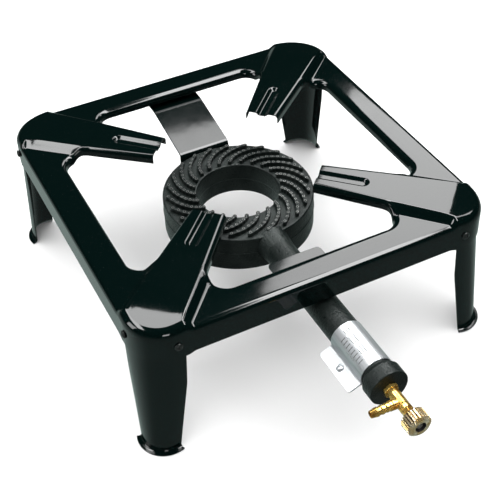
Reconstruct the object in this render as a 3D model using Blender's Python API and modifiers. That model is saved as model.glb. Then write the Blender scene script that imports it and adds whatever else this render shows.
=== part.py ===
"""Propane burner stand: a four-legged pressed-steel gas ring with a cast-iron burner and a needle valve.

Lengths are in metres. +Z is up, the gas valve points to -Y, and the floor is Z = 0. Every piece hangs on
one empty at the frame's centre, which puts the whole object's box over the world origin.
"""

import math

import bmesh
import bpy
from mathutils import Matrix, Vector

MM = 0.001
GAP = 0.3 * MM  # left between pieces that touch or are fastened together
THREAD_GAP = 0.25 * MM  # between a screw's shank and the hole it sits in

# Top frame: one stamping, 1.2 mm sheet
FRAME_HALF = 200 * MM
CORNER_RADIUS = 42 * MM
RAIL_TOP = 160.3 * MM  # the height all but the legs hang from
RAIL_WIDTH = 34 * MM
SHEET = 1.2 * MM
SKIRT_DEPTH = 30.3 * MM
CORNER_DROP = 2.5 * MM  # the skirt is this much deeper at the corners
EDGE_RADIUS = 6 * MM
CORNER_EDGE_RADIUS = 10 * MM
ROLL_RADIUS = 7 * MM
FLANGE_DEPTH = 10.3 * MM
INNER_ARC_RADIUS = 24 * MM

# Pot-support arms, measured along and across the frame's diagonal
ARM_RISE = 7.3 * MM
ARM_TIP = 91.5 * MM
TIP_HALF_WIDTH = 14.5 * MM
ARM_FLARE = 0.0855
ARM_ROLL_RADIUS = 5 * MM
ARM_FLANGE_DEPTH = 10.6 * MM
FLANK_WIDTH = 12 * MM
BEND_LENGTH = 30.45 * MM  # from the bend across the arm to the corner's outline
BEND_SLOPE = 0.17
GROOVE_LENGTH = 56 * MM
GROOVE_DEPTH = 3 * MM
GROOVE_HALF_WIDTH = 7.5 * MM
FLANK_OUTER_WIDTH = 10 * MM  # the flank's width where it meets the outer edge
FLANK_TOP_PAST_ARC = 5.5 * MM  # from the corner's arc to the flank's top line, along the outer edge

# Legs
LEG_SHEET = 1.5 * MM
LEG_OVERLAP_PAST_ARC = 4.5 * MM
LEG_KINK = 88 * MM
FOOT_HALF_LENGTH = 27 * MM
FOOT_RADIUS = 24 * MM
FOOT_ARC = math.radians(65)  # how far the foot curves each way from the diagonal
LEG_SPLAY = 10 * MM
LEG_SPLAY_BELOW = 5 * MM  # from the skirt's bottom to where a leg starts to lean out
LIP_REACH = 5 * MM
LIP_BEND = 3 * MM
LEG_SCREW_FROM_ARC_END = 3 * MM
LEG_SCREW_ABOVE = 13.6 * MM  # from the skirt's bottom to the leg screws
LEG_SCREW_RADIUS = 2.4 * MM
LEG_HEAD_RADIUS = 4.2 * MM
LEG_HEAD_HEIGHT = 2.4 * MM
LEG_NUT_ACROSS = 8 * MM
LEG_NUT_THICK = 4 * MM
LEG_NUT_GAP = 0.8 * MM  # the nut bridges the leg's hollow curve

# Cast burner
RING_RADIUS = 84.5 * MM
RING_BORE = 46 * MM
RING_DROP = 35.3 * MM  # from the rail's top to the ring's
RING_HEIGHT = 42.5 * MM
CAST_WALL = 4 * MM
RIDGE_COUNT = 24
RIDGE_HEIGHT = 4.8 * MM
RIDGE_WIDTH = 4 * MM
RIDGE_INSET = 1.5 * MM
RIDGE_END_INSET = 4.5 * MM
RIDGE_SWEEP = math.radians(34)
TUBE_RADIUS = 16.5 * MM
TUBE_DROP = 50.3 * MM  # from the rail's top to the mixing tube's axis
TUBE_END = 311 * MM  # from the frame's centre to the end flange's face
END_FLANGE_RADIUS = 20.5 * MM
END_FLANGE_LENGTH = 15 * MM
END_FLANGE_WALL = 7 * MM
AIR_WINDOW_LENGTH = 28 * MM
AIR_WINDOW_WIDTH = 16 * MM
TUBE_BOSS_RADIUS = 8 * MM
RING_BOSS_RADIUS = 7.5 * MM
RING_BOSS_REACH = 2.5 * MM
RING_BOSS_DROP = 20 * MM  # from the ring's top to its boss
CAST_SCREW_RADIUS = 2.9 * MM
CAST_HEAD_RADIUS = 5 * MM
CAST_HEAD_HEIGHT = 3 * MM

# Brackets that hold the burner
BRACKET_SHEET = 2 * MM
BRACKET_BEND = 4 * MM
REAR_BRACKET_WIDTH = 62 * MM
REAR_SLOPE_RISE = 0.5 * MM  # from the ring's top to the slope's lower end
REAR_TAB_BELOW = 8 * MM  # from the boss's middle to the tab's end
FRONT_BRACKET_WIDTH = 61 * MM
FRONT_BRACKET_REACH = 127 * MM
FRONT_BRACKET_CORNER = 5 * MM
TUBE_SCREW_AT = 150 * MM
BRACKET_UPSTAND_DEPTH = 12.3 * MM

# Air sleeve
SLEEVE_SHEET = 0.8 * MM
SLEEVE_CLEARANCE = 0.35 * MM
SLEEVE_LENGTH = 55 * MM
SLEEVE_TAB_REACH = 15.5 * MM
SLEEVE_TAB_CORNER = 3 * MM
SLEEVE_TAB_DROP = math.radians(23)
SLEEVE_SCREW_RADIUS = 1.9 * MM
SLEEVE_HEAD_RADIUS = 3.7 * MM
SLEEVE_HEAD_HEIGHT = 2.4 * MM
SLEEVE_NUT_ACROSS = 7 * MM
SLEEVE_NUT_THICK = 3 * MM

# Valve, on the mixing tube's axis
VALVE_RADIUS = 6 * MM
VALVE_LENGTH = 24 * MM
LOCK_NUT_ACROSS = 14 * MM
LOCK_NUT_THICK = 4 * MM
INJECTOR_RADIUS = 4.5 * MM
INJECTOR_LENGTH = 16 * MM
GLAND_ACROSS = 11 * MM
GLAND_LENGTH = 5 * MM
SPINDLE_RADIUS = 2 * MM
SPINDLE_CLEARANCE = 0.08 * MM
PACKING_RADIUS = 3.4 * MM
PACKING_LENGTH = 2.2 * MM
BARB_REACH = 32 * MM
BARB_AT = 13 * MM  # from the valve body's back to the barb's axis
BARB_RADIUS = 3.7 * MM
BARB_RIDGE = 1 * MM
BARB_BORE = 2.2 * MM
BARB_COUNT = 3
KNOB_RADIUS = 12.7 * MM
KNOB_LENGTH = 15 * MM
KNOB_FLUTES = 26
KNOB_FLUTE_DEPTH = 0.8 * MM
KNOB_TRAVEL_GAP = 2.2 * MM
KNOB_RECESS_RADIUS = 5.5 * MM
KNOB_RECESS_DEPTH = 3 * MM
KNOB_SCREW_RADIUS = 1.2 * MM
KNOB_SCREW_HEAD = 3 * MM

# Values that follow from the ones above
ARM_TOP = RAIL_TOP + ARM_RISE
ARM_FLANGE_BOTTOM = ARM_TOP - ARM_FLANGE_DEPTH
FLANGE_BOTTOM = RAIL_TOP - FLANGE_DEPTH
SKIRT_BOTTOM = RAIL_TOP - SKIRT_DEPTH
BEND_START = (FRAME_HALF - CORNER_RADIUS) * math.sqrt(2) + CORNER_RADIUS - BEND_LENGTH
LEG_TOP = FLANGE_BOTTOM
LEG_SPLAY_TOP = SKIRT_BOTTOM - LEG_SPLAY_BELOW
LEG_SCREW_HEIGHT = SKIRT_BOTTOM + LEG_SCREW_ABOVE
RING_TOP = RAIL_TOP - RING_DROP
RING_BOTTOM = RING_TOP - RING_HEIGHT
RIDGE_TOP = RING_TOP + RIDGE_HEIGHT
RING_BOSS_AT = RING_TOP - RING_BOSS_DROP
TUBE_AXIS = RAIL_TOP - TUBE_DROP
BRACKET_TOP = RAIL_TOP - BRACKET_UPSTAND_DEPTH
ARC_HALF_LENGTH = CORNER_RADIUS * math.pi / 4
LEG_SCREW_U = ARC_HALF_LENGTH - LEG_SCREW_FROM_ARC_END
KNOB_BACK = TUBE_END + GAP + LOCK_NUT_THICK + GAP + VALVE_LENGTH + GAP + GLAND_LENGTH + KNOB_TRAVEL_GAP
FRONT_REACH = KNOB_BACK + KNOB_LENGTH
LEG_RADIUS = CORNER_RADIUS - SHEET - GAP
LEG_HALF_LENGTH = LEG_RADIUS * math.pi / 4 + LEG_OVERLAP_PAST_ARC
FOOT_CENTRE = FRAME_HALF - CORNER_RADIUS + (LEG_RADIUS + LEG_SPLAY - FOOT_RADIUS) * math.sqrt(0.5)
REAR_REACH = FOOT_CENTRE + FOOT_RADIUS + LIP_REACH
STAND_Y = (FRONT_REACH - REAR_REACH) / 2
SLEEVE_FRONT = TUBE_END - END_FLANGE_LENGTH - 7 * MM
SLEEVE_MID = SLEEVE_FRONT - SLEEVE_LENGTH / 2
UP_TO_FRONT = (math.radians(90), 0, 0)  # turns a piece's +Z to the stand's front
UP_TO_LEFT = (0, math.radians(-90), 0)

ENAMEL = ("enamel", (0.010, 0.016, 0.014), 0.12, 0.0)
IRON = ("cast_iron", (0.020, 0.024, 0.022), 0.55, 0.3)
ZINC = ("zinc_plate", (0.72, 0.73, 0.74), 0.28, 1.0)
BRASS = ("brass", (0.76, 0.55, 0.20), 0.25, 1.0)
BLACK_STEEL = ("black_steel", (0.03, 0.03, 0.032), 0.4, 0.8)
NICKEL = ("nickel_brass", (0.78, 0.68, 0.45), 0.22, 1.0)
GRAPHITE = ("packing", (0.05, 0.05, 0.05), 0.8, 0.0)


# ---------------------------------------------------------------- scene helpers
def clear_scene():
    for obj in list(bpy.data.objects):
        bpy.data.objects.remove(obj, do_unlink=True)


def make_collection(name):
    collection = bpy.data.collections.new(name)
    bpy.context.scene.collection.children.link(collection)
    return collection


def make_material(look):
    name, colour, roughness, metallic = look
    found = bpy.data.materials.get(name)
    if found:
        return found
    made = bpy.data.materials.new(name)
    made.use_nodes = True
    shader = made.node_tree.nodes["Principled BSDF"]
    shader.inputs["Base Color"].default_value = (*colour, 1)
    shader.inputs["Roughness"].default_value = roughness
    shader.inputs["Metallic"].default_value = metallic
    return made


def add_part(name, mesh, look, at=(0, 0, 0), turn=(0, 0, 0), parent=None):
    """Links one sub-part. A mesh that several sub-parts share is only given its material once."""
    obj = bpy.data.objects.new(name, mesh)
    parts.objects.link(obj)
    if not mesh.materials:
        mesh.materials.append(make_material(look))
    obj.location = at
    obj.rotation_euler = turn
    obj.parent = parent or stand
    return obj


def add_tool(name, mesh, at=(0, 0, 0), turn=(0, 0, 0)):
    """A shape that is only cut from a part or joined to it."""
    tool = bpy.data.objects.new(name, mesh)
    tools.objects.link(tool)
    tool.location = at
    tool.rotation_euler = turn
    tool.parent = stand
    tool.hide_render = True
    tool.display_type = "WIRE"
    return tool


def combine(obj, tool, operation):
    modifier = obj.modifiers.new(f"{operation.lower()} {tool.name}", "BOOLEAN")
    modifier.operation = operation
    modifier.object = tool
    modifier.solver = "EXACT"


def evaluated_mesh(obj):
    """The object's mesh with its modifiers applied. The object itself is removed."""
    bpy.context.view_layer.update()
    graph = bpy.context.evaluated_depsgraph_get()
    mesh = bpy.data.meshes.new_from_object(obj.evaluated_get(graph))
    mesh.name = obj.name
    bpy.data.objects.remove(obj, do_unlink=True)
    return mesh


def smooth(mesh, angle=35):
    mesh.shade_smooth()
    mesh.set_sharp_from_angle(angle=math.radians(angle))
    return mesh


# ---------------------------------------------------------------- shape helpers
def turned_mesh(name, profile, steps=24, closed=False):
    """Turns a profile of (radius, height) points about Z; it runs down the outer side. A point on the axis
    closes a flat end, which becomes one face."""
    mesh = bpy.data.meshes.new(name)
    edges = [(i, i + 1) for i in range(len(profile) - 1)]
    if closed:
        edges.append((len(profile) - 1, 0))
    mesh.from_pydata([(radius, 0, height) for radius, height in profile], edges, [])
    obj = bpy.data.objects.new(name, mesh)
    parts.objects.link(obj)
    screw = obj.modifiers.new("turn", "SCREW")
    screw.steps = screw.render_steps = steps
    screw.use_merge_vertices = True
    screw.merge_threshold = 0.00001
    made = evaluated_mesh(obj)
    bm = bmesh.new()
    bm.from_mesh(made)
    bmesh.ops.dissolve_verts(bm, verts=[v for v in bm.verts if v.co.xy.length < 0.000001])
    bm.to_mesh(made)
    bm.free()
    return smooth(made)


def prism_mesh(name, sides, across_flats, low, high):
    """A prism about Z; 6 sides make a nut, many make a cylinder."""
    mesh = bpy.data.meshes.new(name)
    bm = bmesh.new()
    radius = across_flats / 2 / math.cos(math.pi / sides)
    middle = Matrix.Translation((0, 0, (low + high) / 2))
    bmesh.ops.create_cone(
        bm, cap_ends=True, segments=sides, radius1=radius, radius2=radius, depth=high - low, matrix=middle
    )
    bm.to_mesh(mesh)
    bm.free()
    return mesh


def box_mesh(name, low, high):
    mesh = bpy.data.meshes.new(name)
    bm = bmesh.new()
    size = Vector(high) - Vector(low)
    middle = Matrix.Translation((Vector(high) + Vector(low)) / 2)
    bmesh.ops.create_cube(bm, size=1, matrix=middle @ Matrix.Diagonal((*size, 1)))
    bm.to_mesh(mesh)
    bm.free()
    return mesh


def bored_mesh(name, outer, bore_radius, low, high, sides=16):
    """An outer mesh with a round hole along Z."""
    obj = bpy.data.objects.new(name, outer)
    parts.objects.link(obj)
    drill = bpy.data.objects.new(name + "_drill", prism_mesh("drill", sides, 2 * bore_radius, low, high))
    tools.objects.link(drill)
    combine(obj, drill, "DIFFERENCE")
    mesh = evaluated_mesh(obj)
    bpy.data.objects.remove(drill, do_unlink=True)
    return smooth(mesh)


def grid_faces(bm, rows):
    """Joins rows of points into quads; the normals face the side that sees the rows run anticlockwise."""
    made = [[bm.verts.new(point) for point in row] for row in rows]
    for low, high in zip(made, made[1:]):
        for i in range(len(low) - 1):
            bm.faces.new((low[i], low[i + 1], high[i + 1], high[i]))


def sheet_object(name, rows, thickness, offset):
    """A sheet through rows of points, given its thickness on one side (-1 or 1) or on both (0)."""
    mesh = bpy.data.meshes.new(name)
    bm = bmesh.new()
    grid_faces(bm, rows)
    bmesh.ops.remove_doubles(bm, verts=bm.verts, dist=0.000001)
    bm.to_mesh(mesh)
    bm.free()
    obj = bpy.data.objects.new(name, mesh)
    parts.objects.link(obj)
    solid = obj.modifiers.new("sheet", "SOLIDIFY")
    solid.thickness = thickness
    solid.offset = offset
    solid.use_even_offset = True
    return obj


def rounded_path(points, radius, steps=3):
    """A polyline in a plane with each inner corner replaced by an arc."""
    path = [Vector(points[0])]
    for before, corner, after in zip(points, points[1:], points[2:]):
        corner = Vector(corner)
        to_before = (Vector(before) - corner).normalized()
        to_after = (Vector(after) - corner).normalized()
        half = to_before.angle(to_after) / 2
        centre = corner + (to_before + to_after).normalized() * radius / math.sin(half)
        start = corner + to_before * radius / math.tan(half) - centre
        end = corner + to_after * radius / math.tan(half) - centre
        path += [centre + radius * start.slerp(end, i / steps) for i in range(steps + 1)]
    path.append(Vector(points[-1]))
    return path


def pan_screw_mesh(name, radius, head_radius, head_height, length):
    """A pan-head screw: head above Z = 0, shank below."""
    profile = [
        (0, head_height),
        (head_radius * 0.5, head_height),
        (head_radius * 0.85, head_height * 0.75),
        (head_radius, head_height * 0.3),
        (head_radius, 0),
        (radius, 0),
        (radius, -length),
        (0, -length),
    ]
    return turned_mesh(name, profile, 14)


# ---------------------------------------------------------------- top frame
def corner_outline(u, radius):
    """Plan point and outward normal, a distance u from the diagonal along a corner of this radius."""
    quarter = radius * math.pi / 4
    arc = max(-quarter, min(quarter, u))
    angle = math.pi / 4 + arc / radius
    normal = Vector((math.cos(angle), math.sin(angle)))
    along = Vector((-math.sin(angle), math.cos(angle)))
    centre = Vector((1, 1)) * (FRAME_HALF - CORNER_RADIUS)
    return centre + radius * normal + (u - arc) * along, normal


def on_diagonal(s, w):
    """Plan point from distances along and across the diagonal."""
    return Vector((s - w, s + w)) / math.sqrt(2)


def arm_half_width(s):
    return TIP_HALF_WIDTH + ARM_FLARE * (s - ARM_TIP)


def arm_height(s, w):
    """Height of an arm's top, with its bend near the corner and its pressed groove at the tip."""
    height = ARM_TOP - BEND_SLOPE * max(0, s - BEND_START)
    groove_end = ARM_TIP + GROOVE_LENGTH - GROOVE_HALF_WIDTH
    from_groove = math.hypot(max(0, s - groove_end), w) / GROOVE_HALF_WIDTH
    if from_groove < 1:
        height -= GROOVE_DEPTH * (1 + math.cos(math.pi * from_groove)) / 2
    return height


def inner_arc():
    """Centre of the arc between a rail's inner edge and an arm's side, and its end angle on the arm."""
    lean = math.sqrt(1 + ARM_FLARE**2)
    y = FRAME_HALF - RAIL_WIDTH + ROLL_RADIUS - INNER_ARC_RADIUS
    across = y * (1 - ARM_FLARE) / math.sqrt(2)
    across += ARM_FLARE * ARM_TIP - TIP_HALF_WIDTH - INNER_ARC_RADIUS * lean
    x = across * math.sqrt(2) / (1 + ARM_FLARE)
    return Vector((x, y)), math.atan(ARM_FLARE) - math.pi / 4


def frame_columns():
    """Each line across the frame, from the middle of a side to an arm's edge: its inner point and inward
    normal, its distance u round the outside, and how far it has climbed from the rail to the arm."""
    centre, end_angle = inner_arc()
    side = FRAME_HALF - CORNER_RADIUS + ARC_HALF_LENGTH
    columns = []
    for share in (0, 0.5):
        x = centre.x * share
        columns.append((Vector((x, centre.y + INNER_ARC_RADIUS)), Vector((0, -1)), side - x, 0))
    panel_u = ARC_HALF_LENGTH + FLANK_TOP_PAST_ARC + FLANK_OUTER_WIDTH
    flank_angle = math.acos(1 - FLANK_WIDTH / INNER_ARC_RADIUS)
    turns = []
    for i in range(3):
        share = i / 3
        angle = math.pi / 2 - (math.pi / 2 - end_angle - flank_angle) * share
        turns.append((angle, (side - centre.x) * (1 - share) + panel_u * share, 0))
    for share, climb in ((0, 0), (0.35, 0.22), (0.68, 0.76), (1, 1)):
        angle = end_angle + math.acos(1 - FLANK_WIDTH * (1 - share) / INNER_ARC_RADIUS)
        turns.append((angle, panel_u - FLANK_OUTER_WIDTH * share, climb))
    for angle, u, climb in turns:
        toward = Vector((math.cos(angle), math.sin(angle)))
        columns.append((centre + toward * INNER_ARC_RADIUS, -toward, u, climb))
    return columns


def mix(low, high, share):
    return low + (high - low) * share


def frame_point(plan, climb):
    """A point of the frame's top, climb being 0 on a rail's panel and 1 on an arm."""
    s = (plan.x + plan.y) / math.sqrt(2)
    w = (plan.y - plan.x) / math.sqrt(2)
    return Vector((plan.x, plan.y, mix(RAIL_TOP, arm_height(s, w), climb)))


def turned_down(top, normal, radius, bottom):
    """Points from a top edge round a bend and down to the sheet's free edge."""
    bend = []
    for angle in (math.radians(45), math.radians(90)):
        out = normal * radius * math.sin(angle)
        bend.append(top + Vector((out.x, out.y, -radius * (1 - math.cos(angle)))))
    return bend + [Vector((bend[-1].x, bend[-1].y, bottom))]


def inner_edge(top, normal, climb):
    radius = mix(ROLL_RADIUS, ARM_ROLL_RADIUS, climb)
    bottom = mix(FLANGE_BOTTOM, ARM_FLANGE_BOTTOM, climb)
    return turned_down(top, normal, radius, bottom)[::-1]


def across_frame(plan, u, climb):
    """Points from the frame's inner top edge to its skirt's bottom edge."""
    edge, normal = corner_outline(u, CORNER_RADIUS)
    radius = mix(EDGE_RADIUS, CORNER_EDGE_RADIUS, climb)
    outer = edge - normal * radius
    line = [frame_point(plan.lerp(outer, share), climb) for share in (0, 0.4, 0.75, 1)]
    return line + turned_down(line[-1], normal, radius, SKIRT_BOTTOM - CORNER_DROP * climb)


def frame_grids():
    """The grids of points for an eighth of the frame: side, corner and arm."""
    columns = frame_columns()
    side = [inner_edge(frame_point(p, c), n, c) + across_frame(p, u, c) for p, n, u, c in columns]
    start = columns[-1][0]
    arm_normal, arm_u = columns[-1][1], columns[-1][2]
    start_s = (start.x + start.y) / math.sqrt(2)
    shares = [1] + [ARC_HALF_LENGTH / arm_u * i / 4 for i in (4, 3, 2, 1, 0)]
    corner = []
    for share in shares:
        plan = on_diagonal(start_s, arm_half_width(start_s) * share)
        corner.append(across_frame(plan, arm_u * share, 1))
    arm = []
    groove_start = ARM_TIP + GROOVE_LENGTH
    for s in (ARM_TIP, ARM_TIP + 17 * MM, ARM_TIP + 34 * MM, groove_start - 7 * MM, groove_start, start_s):
        top = [frame_point(on_diagonal(s, arm_half_width(s) * share), 1) for share in shares]
        arm.append(inner_edge(top[0], arm_normal, 1) + top)
    return [list(zip(*side)), list(zip(*corner)), arm]


def top_frame_object():
    mesh = bpy.data.meshes.new("top_frame")
    bm = bmesh.new()
    for grid in frame_grids():
        grid_faces(bm, grid)
        other_half = [[(point[1], point[0], point[2]) for point in row][::-1] for row in grid]
        grid_faces(bm, other_half)
    bmesh.ops.remove_doubles(bm, verts=bm.verts, dist=0.000002)
    bm.to_mesh(mesh)
    bm.free()
    obj = add_part("top_frame", mesh, ENAMEL)
    mirror = obj.modifiers.new("four corners", "MIRROR")
    mirror.use_axis = (True, True, False)
    mirror.merge_threshold = 0.00001
    solid = obj.modifiers.new("sheet", "SOLIDIFY")
    solid.thickness = SHEET
    solid.offset = -1
    drill = cylinders_mesh("leg_screw_holes", leg_screw_places(), LEG_SCREW_RADIUS + THREAD_GAP, 4 * MM)
    combine(obj, add_tool("leg_screw_holes", drill), "DIFFERENCE")
    return obj


# ---------------------------------------------------------------- legs
def leg_screw_places():
    """Where the leg screws sit on the skirt, corner by corner from +X+Y round, two to a corner."""
    places = []
    for quarter in range(4):
        for u in (-LEG_SCREW_U, LEG_SCREW_U):
            point, normal = corner_outline(u, CORNER_RADIUS)
            place = Matrix.Translation((point.x, point.y, LEG_SCREW_HEIGHT))
            place @= Matrix.Rotation(math.atan2(normal.y, normal.x), 4, "Z")
            place @= Matrix.Rotation(math.pi / 2, 4, "Y")
            places.append(Matrix.Rotation(quarter * math.pi / 2, 4, "Z") @ place)
    return places


def cylinders_mesh(name, places, radius, reach, sides=12):
    """Cylinders along the Z axes of these places, reaching this far both ways."""
    mesh = bpy.data.meshes.new(name)
    bm = bmesh.new()
    for place in places:
        place = place @ Matrix.Rotation(math.radians(10), 4, "Z")
        bmesh.ops.create_cone(
            bm, cap_ends=True, segments=sides, radius1=radius, radius2=radius, depth=2 * reach, matrix=place
        )
    bm.to_mesh(mesh)
    bm.free()
    return mesh


def leg_outline(u, height):
    """Plan point and outward normal of a leg's outer face: the skirt's corner at the top, a tighter arc
    standing further out at the foot."""
    splay = max(0, min(1, (LEG_SPLAY_TOP - height) / (LEG_SPLAY_TOP - LEG_SHEET)))
    radius = mix(LEG_RADIUS, FOOT_RADIUS, splay)
    most = radius * mix(math.pi / 4, FOOT_ARC, splay)
    arc = max(-most, min(most, u))
    angle = math.pi / 4 + arc / radius
    normal = Vector((math.cos(angle), math.sin(angle)))
    along = Vector((-math.sin(angle), math.cos(angle)))
    centre = FRAME_HALF - CORNER_RADIUS + (LEG_RADIUS + LEG_SPLAY * splay - radius) * math.sqrt(0.5)
    return Vector((centre, centre)) + radius * normal + (u - arc) * along, normal


def leg_mesh():
    """One leg in the +X+Y corner: a sheet round the inside of the skirt's corner, tapering to a lipped foot."""
    lip = [(LIP_REACH, LEG_SHEET), (LIP_BEND, LEG_SHEET)]
    for angle in (math.pi / 4, math.pi / 2):
        lip.append((LIP_BEND * (1 - math.sin(angle)), LEG_SHEET + LIP_BEND * (1 - math.cos(angle))))
    arc_share = LEG_RADIUS * math.pi / 4 / LEG_HALF_LENGTH
    shares = [1] + [arc_share * i / 4 for i in (4, 3, 2, 1)]
    shares = [-share for share in shares] + [0] + shares[::-1]
    rows = []
    for out, height in lip + [(0, LEG_KINK * 0.5), (0, LEG_KINK), (0, LEG_SPLAY_TOP), (0, LEG_TOP)]:
        half = mix(FOOT_HALF_LENGTH, LEG_HALF_LENGTH, min(1, height / LEG_KINK))
        row = []
        for share in shares:
            point, normal = leg_outline(half * share, height)
            point = point + normal * out
            row.append(Vector((point.x, point.y, height)))
        rows.append(row)
    obj = sheet_object("leg", rows, LEG_SHEET, -1)
    drill = cylinders_mesh("drill", leg_screw_places()[:2], LEG_SCREW_RADIUS + THREAD_GAP, 8 * MM)
    tool = bpy.data.objects.new("drill", drill)
    tools.objects.link(tool)
    combine(obj, tool, "DIFFERENCE")
    mesh = evaluated_mesh(obj)
    bpy.data.objects.remove(tool, do_unlink=True)
    return smooth(mesh, 30)


def add_legs():
    leg = leg_mesh()
    nut_top = -(SHEET + GAP + LEG_SHEET + LEG_NUT_GAP)
    length = LEG_NUT_THICK - nut_top + 2 * GAP
    screw = pan_screw_mesh("leg_screw", LEG_SCREW_RADIUS, LEG_HEAD_RADIUS, LEG_HEAD_HEIGHT, length)
    nut = prism_mesh("leg_nut", 6, LEG_NUT_ACROSS, nut_top - LEG_NUT_THICK, nut_top)
    nut = bored_mesh("leg_nut", nut, LEG_SCREW_RADIUS + THREAD_GAP, nut_top * 4, 0)
    corners = ("rear_right", "rear_left", "front_left", "front_right")
    for quarter, corner in enumerate(corners):
        add_part(f"leg_{corner}", leg, ENAMEL, turn=(0, 0, quarter * math.pi / 2))
        for i, place in enumerate(leg_screw_places()[2 * quarter : 2 * quarter + 2]):
            name = f"{corner}_{i + 1}"
            turn = place.to_euler()
            at = place.translation
            add_part(f"leg_screw_{name}", screw, BLACK_STEEL, at + place.to_3x3() @ Vector((0, 0, GAP)), turn)
            add_part(f"leg_nut_{name}", nut, BLACK_STEEL, at, turn)


# ---------------------------------------------------------------- brackets
def bracket_object(name, rows, drill_at, drill_turn, look):
    obj = sheet_object(name, rows, BRACKET_SHEET, 0)
    mesh = evaluated_mesh(obj)
    made = add_part(name, smooth(mesh, 30), look)
    drill = cylinders_mesh(name + "_hole", [Matrix()], CAST_SCREW_RADIUS + THREAD_GAP, 6 * MM)
    combine(made, add_tool(name + "_hole", drill, drill_at, drill_turn), "DIFFERENCE")
    return made


def add_rear_bracket():
    """A strip welded inside the rear skirt, sloping down to the ring and bolted to its rear boss."""
    weld = FRAME_HALF - SHEET - GAP - BRACKET_SHEET / 2
    tab = RING_RADIUS + RING_BOSS_REACH + GAP + BRACKET_SHEET / 2
    under_rail = FLANGE_BOTTOM - 6 * MM
    points = [
        (0, weld, BRACKET_TOP),
        (0, weld, under_rail - BRACKET_SHEET),
        (0, FRAME_HALF - RAIL_WIDTH - 3 * MM, under_rail - BRACKET_SHEET),
        (0, tab, RING_TOP + REAR_SLOPE_RISE),
        (0, tab, RING_BOSS_AT - REAR_TAB_BELOW),
    ]
    half = Vector((REAR_BRACKET_WIDTH / 2, 0, 0))
    path = rounded_path(points, BRACKET_BEND)
    rows = [[point - half, point + half] for point in path]
    bracket_object("rear_bracket", rows, (0, tab, RING_BOSS_AT), (math.pi / 2, 0, 0), ENAMEL)
    screw = pan_screw_mesh("ring_screw", CAST_SCREW_RADIUS, CAST_HEAD_RADIUS, CAST_HEAD_HEIGHT, 8 * MM)
    head_at = tab + BRACKET_SHEET / 2 + GAP
    add_part("ring_screw", screw, BLACK_STEEL, (0, head_at, RING_BOSS_AT), (-math.pi / 2, 0, 0))


def add_front_bracket():
    """A plate welded inside the front skirt, lying on the mixing tube and screwed to its pad."""
    weld = -(FRAME_HALF - SHEET - GAP - BRACKET_SHEET / 2)
    level = TUBE_AXIS + TUBE_RADIUS + GAP + BRACKET_SHEET / 2
    raised = SKIRT_BOTTOM + 4 * MM
    inner = -FRONT_BRACKET_REACH
    points = [
        (0, inner - FRONT_BRACKET_CORNER, level),
        (0, -FRAME_HALF + 42 * MM, level),
        (0, -FRAME_HALF + 30 * MM, raised),
        (0, weld, raised),
        (0, weld, BRACKET_TOP),
    ]
    half = FRONT_BRACKET_WIDTH / 2
    rows = []
    for angle in (0, math.radians(45)):
        y = inner - FRONT_BRACKET_CORNER * (1 - math.cos(angle))
        width = half - FRONT_BRACKET_CORNER * (1 - math.sin(angle))
        rows.append([Vector((width, y, level)), Vector((-width, y, level))])
    for point in rounded_path(points, BRACKET_BEND):
        rows.append([point + Vector((half, 0, 0)), point - Vector((half, 0, 0))])
    bracket_object("front_bracket", rows, (0, -TUBE_SCREW_AT, level), (0, 0, 0), ENAMEL)
    screw = pan_screw_mesh("tube_screw", CAST_SCREW_RADIUS, CAST_HEAD_RADIUS, CAST_HEAD_HEIGHT, 6 * MM)
    add_part("tube_screw", screw, BLACK_STEEL, (0, -TUBE_SCREW_AT, level + BRACKET_SHEET / 2 + GAP))


# ---------------------------------------------------------------- burner casting
def ridge_mesh():
    """The swirling port ridges: radial at the bore, swept clockwise outwards."""
    mesh = bpy.data.meshes.new("ridges")
    bm = bmesh.new()
    inner = RING_BORE + RIDGE_INSET
    outer = RING_RADIUS - RIDGE_END_INSET
    steps = 4
    for number in range(RIDGE_COUNT):
        first = 2 * math.pi * number / RIDGE_COUNT
        rings = []
        for i in range(steps + 1):
            share = i / steps
            angle = first - RIDGE_SWEEP * share**1.4
            along = Vector((math.cos(angle), math.sin(angle), 0))
            lean = RIDGE_SWEEP * 1.4 * share**0.4 * mix(inner, outer, share) / (outer - inner)
            side = Vector((-along.y, along.x, 0)) + along * lean
            side = side.normalized() * RIDGE_WIDTH / 2
            middle = along * mix(inner, outer, share)
            low, high = RING_TOP - 2 * MM, RIDGE_TOP
            corners = ((-1, low), (-0.75, high), (0.75, high), (1, low))
            rings.append([bm.verts.new(middle + side * k + Vector((0, 0, z))) for k, z in corners])
        for near, far in zip(rings, rings[1:]):
            for k in range(4):
                bm.faces.new((near[k], near[(k + 1) % 4], far[(k + 1) % 4], far[k]))
        bm.faces.new(rings[0][::-1])
        bm.faces.new(rings[-1])
    bmesh.ops.recalc_face_normals(bm, faces=bm.faces)
    bm.to_mesh(mesh)
    bm.free()
    return mesh


def ring_profile(wall):
    """The ring's section, or with a wall that of the hollow in it."""
    inner, outer = RING_BORE + wall, RING_RADIUS - wall
    low, high = RING_BOTTOM + wall, RING_TOP - wall
    edge = 1.5 * MM
    return [
        (outer - edge, high),
        (outer, high - edge),
        (outer, low + edge),
        (outer - edge, low),
        (inner + edge, low),
        (inner, low + edge),
        (inner, high - edge),
        (inner + edge, high),
    ]


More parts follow.
